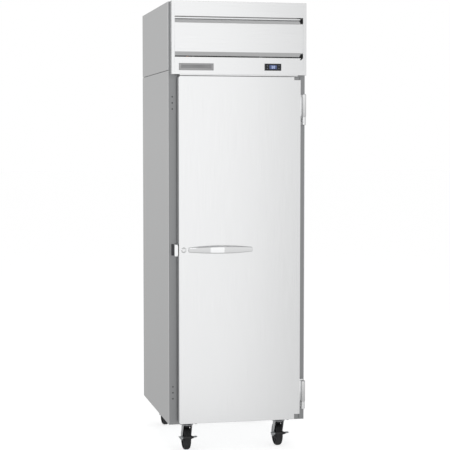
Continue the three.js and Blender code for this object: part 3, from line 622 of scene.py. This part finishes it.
def door_gasket():
    """Soft magnetic seal: flat face, two bellows folds and a foot, mitred at the corners."""
    box = place("door_gasket")
    foot, deep, width = box.lo.y, box.size.y, 24
    half = [(0.02, 1.0), (0.0, 0.9), (0.03, 0.78), (0.13, 0.7), (0.05, 0.55), (0.12, 0.42), (0.2, 0.27),
            (0.09, 0.16), (0.09, 0.0)]
    section = half + [(1 - across, along) for across, along in reversed(half)]
    corners = [(box.lo.x, box.lo.z, 1, 1), (box.hi.x, box.lo.z, -1, 1), (box.hi.x, box.hi.z, -1, -1),
               (box.lo.x, box.hi.z, 1, -1)]
    rings = [[(x + dx * across * width, foot + along * deep, z + dz * across * width)
              for across, along in section] for x, z, dx, dz in corners]
    piece("gasket_seal", Shape().loft(rings, closed=True), GASKET, "door", "gasket", "door_gasket")


# ---- header fittings

def blank_nameplate():
    """Plain plate with a raised rim and an unmarked inlay, held by two pins."""
    box = place("nameplate")
    front, rim, sunk = box.lo.y, 1.6, 0.3
    plate = Shape().box(box.lo, box.hi, 0.5)
    bars = [(box.lo.x, box.hi.x, box.lo.z, box.lo.z + rim), (box.lo.x, box.hi.x, box.hi.z - rim, box.hi.z),
            (box.lo.x, box.lo.x + rim, box.lo.z, box.hi.z), (box.hi.x - rim, box.hi.x, box.lo.z, box.hi.z)]
    for left, right, low, high in bars:
        plate.box((left, front - 0.4, low), (right, front + sunk, high), 0.3)
    for x in ends(box, "x", 5):
        plate.screw((x, front, box.mid.z), FRONT, 1.8)
    piece("nameplate_blank", plate, PLATE, "cabinet", "nameplate", "nameplate")
    side, below, above = 10, 9, 8
    inlay = Shape().box((box.lo.x + side, front - 0.25, box.lo.z + below),
                        (box.hi.x - side, front + sunk, box.hi.z - above), 0.2)
    piece("nameplate_inlay", inlay, PLATE_INK, "cabinet", "nameplate", "nameplate")


SEGMENTS = {"3": "abcdg", "8": "abcdefg"}


def temperature_display():
    """Dark window with the lit figures 38 and a small round light."""
    box = place("controller_display")
    piece("display_glass", Shape().box(box.lo, box.hi, 0.4), DISPLAY, "cabinet", "display",
          "controller_display")
    wide, tall, stroke, gap, spacing, proud, sunk = 6.4, 12.4, 1.7, 0.35, 3.2, 0.12, 0.1
    half, low_bar, high_bar = tall / 2, (tall - stroke) / 2, (tall + stroke) / 2
    bars = {"a": (0, tall - stroke, wide, tall), "b": (wide - stroke, half, wide, tall),
            "c": (wide - stroke, 0, wide, half), "d": (0, 0, wide, stroke), "e": (0, 0, stroke, half),
            "f": (0, half, stroke, tall), "g": (0, low_bar, wide, high_bar)}
    figures = Shape()
    for number, figure in enumerate("38"):
        x = box.mid.x + (number - 1) * (wide + spacing) + spacing / 2
        z = box.mid.z - half
        for name in SEGMENTS[figure]:
            left, low, right, high = bars[name]
            figures.box((x + left + gap, box.lo.y - proud, z + low + gap),
                        (x + right - gap, box.lo.y + sunk, z + high - gap), 0.08, 1)
    light = [(0, proud), (1.1, proud), (1.1, -sunk), (0, -sunk)]
    figures.turned(light, (box.hi.x - 6, box.lo.y, box.hi.z - 5), FRONT, 16)
    piece("display_figures", figures, DIGIT, "cabinet", "display", "controller_display")


# Where each key's arrow points, across and up. The set key has a ring instead.
KEY_MARKS = {"key_up": (0, 1), "key_down": (0, -1), "key_set": None, "key_defrost": (1, 0)}


def controller_key(node):
    """Rounded key with a small arrow or ring mark."""
    box = place(node)
    piece(f"{node}_cap", Shape().box(box.lo, box.hi, 0.9, 3), KEY_PLASTIC, node, "controller_black", node)
    mark = Shape()
    size, proud, sunk = 1.7, 0.12, 0.05
    if KEY_MARKS[node]:
        along = Vector(KEY_MARKS[node])
        across = Vector((-along.y, along.x))
        middle = Vector((box.mid.x, box.mid.z))
        outline = [middle + size * (a * along + b * across) for a, b in ((1, 0), (-1, 1), (-1, -1))]
        mark.prism(outline, "y", box.lo.y - proud, box.lo.y + sunk)
    else:
        inner = size * 0.65
        band = [(inner, -sunk), (inner, proud), (size, proud), (size, -sunk)]
        mark.turned(band, (box.mid.x, box.lo.y, box.mid.z), FRONT, 24, ring=True)
    piece(f"{node}_mark", mark, MARK, node, "controller_black", node)


def slot_ends():
    """Black blocks in the right ends of the two air slots: painted shade for the dark openings there."""
    panel, louver = place("header_panel"), place("header_louver")
    front, recess, back = place("header_frame").lo.y, 2.2, 5
    right = panel.hi.x - 0.2
    upper, lower, blade = panel.hi.z - 18, panel.lo.z + 16, louver.lo.z
    outlines = [[(right - 13, upper + 3), (right - 4, upper - 1), (right, upper + 2), (right, blade + 3),
                 (right - 11, blade + 5)],
                [(right - 17, lower - 36), (right - 7, lower - 36), (right, lower - 22), (right, lower),
                 (right - 10, lower)]]
    plugs = Shape()
    for outline in outlines:
        plugs.prism(outline, "y", front + recess, front + back)
    piece("slot_end_shade_blocks", plugs, SLOT_END_SHADE, "cabinet", "controller_black")


# ---- casters

def caster_fork(corner):
    """Turned crown with two cheeks, the axle and its nuts, and a black rubber disc under the crown that
    paints the shade inside the fork.
    """
    node = f"caster_fork_{corner}"
    swivel, axle, box = pivot(f"swivel_{corner}"), pivot(f"wheel_{corner}_roll"), place(node)
    top = box.hi.z
    crown = [(0, -5), (24, -5), (28.5, -4), (30, -2), (29, 0), (0, 0)]
    shape = Shape().turned(crown, (swivel.x, swivel.y, top), UP)
    cheek_top, cheek_thick, eye, axle_radius, nut_reach = top - 2.5, 3, 14, 6, 25.8
    cheek = [(swivel.y - 20, cheek_top), *arc((axle.y, axle.z), eye, math.pi, math.pi, 14),
             (swivel.y + 22, cheek_top)]
    for left in (-22.5, 19.5):
        shape.prism(cheek, "x", axle.x + left, axle.x + left + cheek_thick)
    shape.cylinder((box.lo.x, axle.y, axle.z), (box.hi.x, axle.y, axle.z), axle_radius)
    nut = [(0, 0), (8, 0), (8, 3), (6.8, 4), (0, 4)]
    for side in (-1, 1):
        shape.turned(nut, axle + side * nut_reach * RIGHT, side * RIGHT, 6)
    soften(piece(f"fork_{corner}", shape, ZINC_BRIGHT, node, "caster_zinc", node), 0.6)
    # Painted shade: the black disc under the crown stands in for the shadow inside the fork above the
    # wheel.
    shadow_disc_radius, shadow_disc_low, shadow_disc_high = 19, 13.5, 4.5
    seal = Shape().cylinder((swivel.x, swivel.y, top - shadow_disc_low), (swivel.x, swivel.y, top - shadow_disc_high),
                            shadow_disc_radius, 40, 1)
    piece(f"fork_seal_{corner}", seal, TREAD, node, "caster_rubber")


def caster_wheel(corner):
    """Round-shouldered tread on a dished core with six ribs."""
    node, axle = f"caster_wheel_{corner}", pivot(f"wheel_{corner}_roll")
    radius, half, rim = axle.z, 16, 46
    shoulder = [(rim, half), (radius - 8, half), (radius - 5, half - 1.5), (radius - 2.2, half - 4.5),
                (radius - 0.6, half - 8.5), (radius, half - 12), (radius, 2), (radius - 0.8, 1)]
    seat = [(rim - 2, half - 4), (rim - 2, 4 - half)]
    tread = Shape().turned(mirrored(shoulder) + seat, axle, RIGHT, 72, ring=True)
    piece(f"wheel_tread_{corner}", tread, TREAD, node, "caster_rubber", node)
    dish = [(6.4, 18), (12, 18), (13.5, 16), (14, 9), (38, 8), (rim - 1.5, 11)]
    core = Shape().turned(mirrored(dish), axle, RIGHT, 64, ring=True)
    spokes = 6
    for spoke in range(spokes):
        rib = Shape().box((-13, -1.5, 12), (13, 1.5, 43), 0.8)
        turn = Matrix.Rotation(math.tau * spoke / spokes, 4, "X")
        core.join(rib, Matrix.Translation(axle) @ turn)
    piece(f"wheel_core_{corner}", core, WHEEL_CORE, node, "caster_rubber", node)


def caster_brake(corner):
    """Foot pedal across the wheel, hung on the axle by two cheeks."""
    node = f"caster_brake_{corner}"
    box, axle = place(node), pivot(f"wheel_{corner}_roll")
    front, height, eye, bar_half = box.lo.y, axle.z, 10, 25.5
    cheek = [(front + 2, height + eye), *arc((axle.y, height), eye, -math.pi / 2, math.pi, 12),
             (front + 2, height + 18.5)]
    shape = Shape()
    for side in (-1, 1):
        shape.prism(cheek, "x", *sorted((axle.x + side * 23, axle.x + side * bar_half)))
        root, tip = axle.x + side * 24, axle.x + side * box.size.x / 2
        middle = root + side * 8
        wing = [(root, height + 9.5), (middle, height + 10.5), (tip, height + 14), (tip, height + 15.5),
                (middle, height + 14.5), (root, height + 14)]
        shape.prism(wing, "y", front + 4, front + 30)
    soften(piece(f"brake_wings_{corner}", shape, ZINC, node, "caster_zinc", node), 0.7)
    bar = Shape().box((axle.x - bar_half, front, height + 9),
                      (axle.x + bar_half, front + 4.5, height + 19), 1)
    piece(f"brake_bar_{corner}", bar, BRAKE, node, "black_enamel", node)


def caster_bolts():
    """Four bolts up through each caster's plate."""
    shape = Shape()
    under, reach = place("base_frame").hi.z - 8, 36
    for corner in CORNERS:
        swivel = pivot(f"swivel_{corner}")
        for dx, dy in product((-reach, reach), repeat=2):
            shape.hex_bolt((swivel.x + dx, swivel.y + dy, under), DOWN, 7)
    piece("caster_plate_bolts", shape, ZINC, "cabinet", "caster_zinc")


# ---- storage space

def wire_shelf(level):
    """Coated wire shelf: edge wire, cross wires front to back and four stiffeners."""
    node = f"shelf_{level}"
    box = place(node)
    edge, wire, stiff, corner, count = 3.2, 1.7, 2.6, 12, 25
    (left, right), (front, back) = ends(box, "x", edge), ends(box, "y", edge)
    rim = rounded((left, right), (front, back), corner)
    shape = Shape().tube([(x, y, box.lo.z + edge) for x, y in rim], edge, 10, closed=True)
    top = box.hi.z - wire
    for x in spread(box.lo.x, box.hi.x, count + 2)[1:-1]:
        shape.tube([(x, front, top), (x, back, top)], wire, 8)
    under = top - wire - stiff
    for part in (0.02, 0.35, 0.65, 0.98):
        y = min(max(box.lo.y + part * box.size.y, front + 3 * edge), back - 3 * edge)
        shape.tube([(left, y, under), (right, y, under)], stiff, 10)
    piece(f"{node}_wires", shape, SHELF_COAT, node, "shelf_wire", node)


def pilaster(corner):
    """Slotted channel with a hooked clip at each shelf."""
    node = f"pilaster_{corner}"
    box = place(node)
    wall, inward = (box.hi.x, -1) if corner.endswith("right") else (box.lo.x, 1)
    half, slot_half, depth, sheet, slot, pitch = 9, 4, 8, 1.2, 12, 25.4
    middle = box.mid.y
    shape = Shape()

    def bar(near, far, front, back, low=box.lo.z, high=box.hi.z):
        left, right = sorted((wall + inward * near, wall + inward * far))
        shape.box((left, middle + front, low), (right, middle + back, high))

    bar(0, depth, -half, sheet - half)
    bar(0, depth, half - sheet, half)
    bar(depth - sheet, depth, -half, -slot_half)
    bar(depth - sheet, depth, slot_half, half)
    for rung in range(int(box.size.z / pitch) + 1):
        low = box.lo.z + rung * pitch
        high = min(low + pitch - slot, box.hi.z)
        bar(depth - sheet, depth, -slot_half - 0.4, slot_half + 0.4, low, high)
    piece(f"{node}_channel", shape, PILASTER, "cabinet", "pilaster_steel", node)
    clips = Shape()
    near, far, clip_half = depth - 1, depth + 15.5, 6.5
    hook = [(near, 0), (far, 0), (far, -2.2), (near + 6, -4), (near + 3, -15.5), (near, -15.5)]
    for level in SHELVES:
        top = place(f"shelf_{level}").lo.z - GAP
        outline = [(wall + inward * reach, top + z) for reach, z in hook]
        clips.prism(outline, "y", middle - clip_half, middle + clip_half)
    soften(piece(f"{node}_clips", clips, PILASTER, "cabinet", "pilaster_steel", node), 0.5)


def fan_blade(root, tip, depth):
    """One cambered blade, standing along z, with less pitch towards its tip."""
    stations, chord_steps = 7, 9
    rings = []
    for station in range(stations):
        part = station / (stations - 1)
        pitch = Matrix.Rotation(math.radians(40 - 18 * part), 3, "Z")
        chord = 0.95 * tip * (0.42 + 0.34 * math.sin(math.pi * (0.25 + 0.6 * part)))
        thick = 1.5 - 0.8 * part
        row = []
        for surface in (1, -1):
            for step in range(chord_steps)[::surface]:
                u = step / (chord_steps - 1) - 0.5
                crown = 1 - 4 * u * u
                skin = surface * thick * (0.3 + 0.7 * crown) / 2
                spot = pitch @ Vector((u * chord, 0.1 * chord * crown + skin, 0))
                row.append((spot.x, spot.y * depth / (0.62 * tip), root + (tip - root) * part))
        rings.append(row)
    return Shape().loft(rings)


def fan(node, hub, tip, depth, blades, material, slot):
    """Moulded or pressed axial fan with cambered, twisted blades."""
    centre = pivot(f"{node}_spin")
    half = depth / 2 * BACK
    shape = Shape().cylinder(centre + half, centre - half, hub, 40, depth * 0.12)
    for blade in range(blades):
        turn = Matrix.Rotation(math.tau * blade / blades, 4, "Y")
        shape.join(fan_blade(0.85 * hub, tip, depth), Matrix.Translation(centre) @ turn)
    piece(f"{node}_blades", shape, material, node, slot, node)


def evaporator_guard(centre):
    """Fan guard: concentric wires on radial ones."""
    shape = Shape()
    radius, rings, spokes, wire = 48, 5, 6, 1.2
    for number in range(rings):
        size = radius * (number + 1) / rings
        loop = [(x, centre.y, z) for x, z in circle(size, 48, (centre.x, centre.z))]
        shape.tube(loop, wire, 8, closed=True)
    for x, z in circle(radius, spokes):
        ray, middle = Vector((x, 0, z)), centre + wire * FRONT
        shape.tube([middle + 0.15 * ray, middle + 1.04 * ray], wire, 8)
    piece("evaporator_guard", shape, SHELF_COAT, "cabinet", "shelf_wire")


def evaporator():
    """Fan guard and screws on the cover, and the coil behind it."""
    cover, hub = place("evaporator_cover"), pivot("evaporator_fan_spin")
    evaporator_guard(Vector((hub.x, cover.lo.y - 1.4, hub.z)))
    screws = Shape()
    outer, inner, edge = 12, 110, 10
    for x, z in product(ends(cover, "x", outer) + ends(cover, "x", inner), ends(cover, "z", edge)):
        screws.screw((x, cover.lo.y, z), FRONT, 3.4)
    piece("evaporator_screws", screws, CHROME_SATIN, "cabinet", "liner_aluminium")
    finned("evaporator", 80, 5, 3)


def finned(name, fins, tubes_up, tubes_deep):
    """Stack of thin plates on copper tubes, with return bends outside both end plates."""
    node = f"{name}_coil"
    box = place(node)
    plate, fin, inset, radius, longest_bend = 2, 0.5, 6, 4, 14
    stack = Shape()
    for x in ends(box, "x", plate):
        stack.box((x - plate, box.lo.y, box.lo.z), (x + plate, box.hi.y, box.hi.z), 0.5)
    (front, back), (low, high) = ends(box, "y", inset), ends(box, "z", inset)
    for x in spread(*ends(box, "x", 4 * plate), fins):
        stack.box((x - fin, front, low), (x + fin, back, high))
    piece(f"{name}_fins", stack, FINS, "cabinet", "coil_aluminium", node)
    pipes = Shape()
    left, right = ends(box, "x", -plate)
    step = box.size.z / tubes_up
    bulge = min(step / 2, longest_bend)
    for column in range(tubes_deep):
        y = front + (back - front) * (column + 0.5) / tubes_deep
        for row in range(tubes_up):
            z = box.lo.z + (row + 0.5) * step
            pipes.tube([(left, y, z), (right, y, z)], radius, 10)
            if row + 1 < tubes_up:
                end, side = (right, 1) if row % 2 else (left, -1)
                half_turn = arc((0, 0), 1, -math.pi / 2, math.pi, 10)
                bend = [(end + side * bulge * a, y, z + (1 + b) * step / 2) for a, b in half_turn]
                pipes.tube(bend, radius, 10)
    piece(f"{name}_tubes", pipes, COPPER, "cabinet", "copper", node)


def lamp_bar():
    """Lens between two end caps."""
    box = place("led_light")
    front, back, low, high = box.lo.y, box.hi.y, box.lo.z, box.hi.z
    section = [(front, high), (front, low + 6), (front + 3, low + 2), (front + 8, low), (back - 7, low),
               (back - 2, low + 5), (back, high)]
    left_end, right_end = ends(box, "x", 9)
    lens = Shape().prism(section, "x", left_end, right_end)
    piece("lamp_lens", lens, LENS, "cabinet", "lamp_white", "led_light")
    caps = Shape().prism(section, "x", box.lo.x, left_end).prism(section, "x", right_end, box.hi.x)
    soften(piece("lamp_caps", caps, KEY_PLASTIC, "cabinet", "lamp_white", "led_light"), 0.8)


# ---- machine compartment

def compressor():
    """Welded can on a pressed foot plate with rubber grommets and a terminal box."""
    box = place("compressor")
    x, y, deck, top = box.mid.x, box.mid.y, box.lo.z, box.hi.z
    foot, foot_thick = deck + 18, 6
    plate_half_x, plate_half_y, mount_x, mount_y = 110, 70, 95, 55
    base = foot + 4
    tall = top - base
    can = [(0, base), (66, base), (78, base + 5), (83, base + 16), (84, base + 0.36 * tall),
           (88, base + 0.38 * tall), (88, base + 0.42 * tall), (84, base + 0.44 * tall),
           (83, base + 0.66 * tall), (79, base + 0.8 * tall), (69, base + 0.91 * tall),
           (50, base + 0.975 * tall), (25, top), (0, top)]
    shape = Shape().turned(can, (x, y, 0), UP, 64)
    plate = rounded((x - plate_half_x, x + plate_half_x), (y - plate_half_y, y + plate_half_y), 22)
    shape.prism(plate, "z", foot, foot + foot_thick)
    shape.box((x + 74, y - 30, base + 0.2 * tall), (x + 104, y + 30, base + 0.62 * tall), 4, 3)
    piece("compressor_can", shape, ENAMEL, "cabinet", "black_enamel", "compressor")
    mounts, studs = Shape(), Shape()
    ribbed = [(0, 0), (12, 0), (12, 5), (9, 7), (12, 9), (12, 15), (9, 18), (0, 18)]
    for dx, dy in product((-mount_x, mount_x), (-mount_y, mount_y)):
        mounts.turned(ribbed, (x + dx, y + dy, deck), UP, 32)
        studs.hex_bolt((x + dx, y + dy, foot + foot_thick), UP, 6)
    piece("compressor_grommets", mounts, TREAD, "cabinet", "caster_rubber", "compressor")
    piece("compressor_bolts", studs, ZINC, "cabinet", "galvanised", "compressor")


def condenser():
    """Coil, and the ribbed fan motor on its bracket."""
    finned("condenser", 100, 9, 2)
    box, hub = place("condenser_fan_motor"), pivot("condenser_fan_spin")
    start, end = hub + 20 * BACK, hub + 92 * BACK
    ribs, first, pitch, bracket_half = 5, 14, 11, 16
    shape = Shape().cylinder(start, end, 40, 48, 6)
    rib = [(39, 0), (41.5, 0.6), (41.5, 3.4), (39, 4)]
    for number in range(ribs):
        shape.turned(rib, start + (first + pitch * number) * BACK, BACK, 48, ring=True)
    shape.cylinder(hub + 14.5 * BACK, start, 5, 20)
    base_top = box.lo.z + 3
    for x in (hub.x - bracket_half, hub.x + bracket_half):
        shape.box((x - 3, box.lo.y + 30, base_top - 1), (x + 3, box.hi.y - 6, hub.z - 30), 1)
    shape.box((box.lo.x, box.hi.y - 50, box.lo.z), (box.hi.x, box.hi.y, base_top), 1)
    for x in ends(box, "x", 10):
        shape.screw((x, box.hi.y - 25, base_top), UP, 4.5)
    piece("condenser_motor", shape, ENAMEL, "cabinet", "black_enamel", "condenser_fan_motor")


def copper_lines():
    """Suction and liquid lines and the filter drier, along the routes of the CAD tubes."""
    deck, ceiling = place("condensate_pan").lo.z, place("evaporator_cover").hi.z
    front = place("face_frame").lo.y

    def route(stops, base):
        return smooth_path([(x, front + y, base + z) for x, y, z in stops], 7)

    upper = [(-72, 430, 80), (-20, 430, 82), (30, 450, 80), (60, 500, 70), (60, 556, 50), (60, 560, 0)]
    lower = [(60, 560, -20), (58, 530, -40), (56, 480, -46)]
    liquid = [(115, 60, 40), (150, 70, 42), (170, 130, 40), (165, 300, 36), (120, 440, 40), (80, 490, 60),
              (60, 500, 70)]
    drier = [(0, 0), (5, 0), (6, 8), (13, 16), (13, 94), (6, 102), (5, 110), (0, 110)]
    shape = Shape().tube(route(upper, deck)[:-1] + route(lower, ceiling), 6, 20)
    shape.tube(route(liquid, deck), 4, 16)
    shape.turned(drier, (168, front + 160, deck + 40), BACK, 32)
    piece("copper_lines", shape, COPPER, "cabinet", "copper", "refrigerant_lines")


def supply_box():
    """Junction box with a screwed lid, and the gland for a supply cord."""
    box = place("electrical_box")
    top, lid, overhang, inset = box.lo.z + 110, 12, 1.2, 9
    shape = Shape().box(box.lo, (box.hi.x, box.hi.y, top - 2), 1.2)
    shape.box((box.lo.x - overhang, box.lo.y - overhang, top - lid),
              (box.hi.x + overhang, box.hi.y + overhang, top), 1.2)
    for x, y in product(ends(box, "x", inset), ends(box, "y", inset)):
        shape.screw((x, y, top), UP, 4)
    piece("supply_box", shape, ZINC, "cabinet", "galvanised", "electrical_box")
    spot = (box.mid.x + 0.5, box.hi.y - 40, top - 1)
    nut = [(5, 0), (16, 0), (16, 8), (14, 9.5), (5, 9.5)]
    neck = [(4.5, 9), (12, 9), (12, 22), (10, 26), (7, 28), (4.5, 28)]
    gland = Shape().turned(nut, spot, UP, 6, ring=True).turned(neck, spot, UP, 32, ring=True)
    piece("supply_gland", gland, KEY_PLASTIC, "cabinet", "galvanised", "electrical_box")


def drain_pan():
    """Evaporation pan with a rolled rim."""
    box = place("condensate_pan")
    wall, rim = 2, 3

    def outline(inset, radius, z):
        return [(x, y, z) for x, y in rounded(ends(box, "x", inset), ends(box, "y", inset), radius)]

    shape = Shape().loft([outline(0, 12, box.lo.z), outline(0, 12, box.hi.z - rim),
                          outline(wall, 10, box.hi.z - rim), outline(wall, 10, box.lo.z + wall)])
    shape.tube(outline(rim / 2, 11, box.hi.z - rim / 2), rim / 2, 10, closed=True)
    piece("drain_pan", shape, ZINC, "cabinet", "galvanised", "condensate_pan")


def cabinet_trim():
    """Plugs in the spare hinge holes and the screws that hold the back."""
    frame_box, back = place("face_frame"), place("back_panel")
    plugs = Shape()
    plug = [(0, 0.4), (3.3, 0.4), (3.6, 0), (2.6, 0), (2.6, -2.4), (0, -2.4)]
    from_side, pitch, upper, lower = 17.4, 28.5, 1637, 271
    for lowest, step in product((upper, lower), range(3)):
        spot = (frame_box.lo.x + from_side, frame_box.lo.y, lowest + pitch * step)
        plugs.turned(plug, spot, FRONT, 20)
    piece("hinge_hole_plugs", plugs, DARK_PLUG_AND_SHADOW, "cabinet", "controller_black")
    screws = Shape()
    rows, margin, side = 9, 30, 14
    for x, z in product(ends(back, "x", side), spread(*ends(back, "z", margin), rows)):
        screws.screw((x, back.hi.y, z), BACK, 4)
    piece("back_screws", screws, ZINC, "cabinet", "galvanised")


# ---- floor, light and camera

# A plain studio: brighter in front of the object than behind it, with a dim ceiling. The height stops
# are (upward part of a direction, brightness).
ROOM_FRONT, ROOM_BACK = 0.8, 0.5
ROOM_HEIGHT = [(-1, 0.4), (0, 1.0), (0.25, 1.0), (0.6, 0.35), (1, 0.35)]

# Place, aim, size and strength of each lamp, in metres.
SOFTBOXES = {
    "overhead": ((0, 0, 5), (0, 0, 0), (4, 4), 0.5),
    "key_left": ((-3.5, -4.5, 3), (0, 0, 1), (2, 2.5), 1.0),
    "front": ((0.6, -9, 1.2), (0, 0, 1.2), (3.4, 6), 0.28),
}


def world_light():
    """Plain soft surroundings, white to the camera."""
    world = bpy.data.worlds.new("studio")
    bpy.context.scene.world = world
    world.use_nodes = True
    graph = Graph(world.node_tree)
    split = graph.add("ShaderNodeSeparateXYZ", Vector=graph.coords["Generated"])

    def ramp(axis, stops):
        greys = [((at + 1) / 2, (value, value, value)) for at, value in stops]
        return graph.ramp(graph.ranged(split.outputs[axis], 0, 1, -1, 1), greys)

    depth = ramp("Y", [(-0.3, ROOM_FRONT), (0.3, ROOM_BACK)])
    room = graph.add("ShaderNodeMixRGB", Fac=1.0, Color1=depth, Color2=ramp("Z", ROOM_HEIGHT))
    room.blend_type = "MULTIPLY"
    camera_ray = graph.add("ShaderNodeLightPath").outputs["Is Camera Ray"]
    seen = graph.add("ShaderNodeMixRGB", Fac=camera_ray, Color1=room.outputs["Color"], Color2=(1, 1, 1, 1))
    graph.fill(graph.tree.nodes["Background"], Color=seen.outputs["Color"])


def softbox(name, location, aim, size, strength):
    """Rectangular soft lamp, unseen by the camera. Its power is its strength times pi times its area."""
    light = bpy.data.lights.new(name, "AREA")
    light.shape = "RECTANGLE"
    light.size, light.size_y = size
    light.energy = strength * math.pi * size[0] * size[1]
    obj = show(name, light)
    obj.location = location
    obj.rotation_euler = (Vector(aim) - Vector(location)).to_track_quat("-Z", "Y").to_euler()
    obj.visible_camera = False


def stage():
    """White floor and the lamps. The floor glows a little and isn't seen in reflections."""
    half = 60.0
    mesh = bpy.data.meshes.new("floor")
    corners = [(-half, -half, 0), (half, -half, 0), (half, half, 0), (-half, half, 0)]
    mesh.from_pydata(corners, [], [(0, 1, 2, 3)])
    paper = Finish("floor_paper", (0.9, 0.9, 0.9), Roughness=0.95, Specular_IOR_Level=0.0,
                   Emission_Color=(1, 1, 1, 1), Emission_Strength=0.72)
    mesh.materials.append(paper.material)
    floor = show("floor", mesh)
    floor.visible_glossy = False
    for name, settings in SOFTBOXES.items():
        softbox(name, *settings)


def camera():
    """Long lens, left of centre and a little above half height, turned towards the cabinet."""
    tilt_down, turn_right = 3.548, 12.344
    lens = bpy.data.cameras.new("camera")
    lens.lens = 108.45
    lens.sensor_width = 36
    lens.clip_end = 100
    obj = show("camera", lens)
    obj.location = (-1.42785, -6.59, 1.48828)
    obj.rotation_euler = (math.radians(90 - tilt_down), 0, math.radians(-turn_right))
    bpy.context.scene.camera = obj


camera()
world_light()
stage()
dress_nodes()
door_handle()
door_lock()
lock_strike()
door_gasket()
for end in ("top", "bottom"):
    hinge_sleeve(end)
    hinge_base(end)
blank_nameplate()
temperature_display()
for key in KEY_MARKS:
    controller_key(key)
slot_ends()
for corner in CORNERS:
    caster_fork(corner)
    caster_wheel(corner)
    if corner.startswith("front"):
        caster_brake(corner)
caster_bolts()
for level in SHELVES:
    wire_shelf(level)
for corner in CORNERS:
    pilaster(corner)
fan("evaporator_fan", 14, 42, 20, 5, FAN_PLASTIC, "fan_plastic")
fan("condenser_fan", 22, 100, 28, 5, FINS, "coil_aluminium")
evaporator()
lamp_bar()
compressor()
condenser()
copper_lines()
supply_box()
drain_pan()
cabinet_trim()

bpy.context.scene.view_settings.view_transform = "Standard"
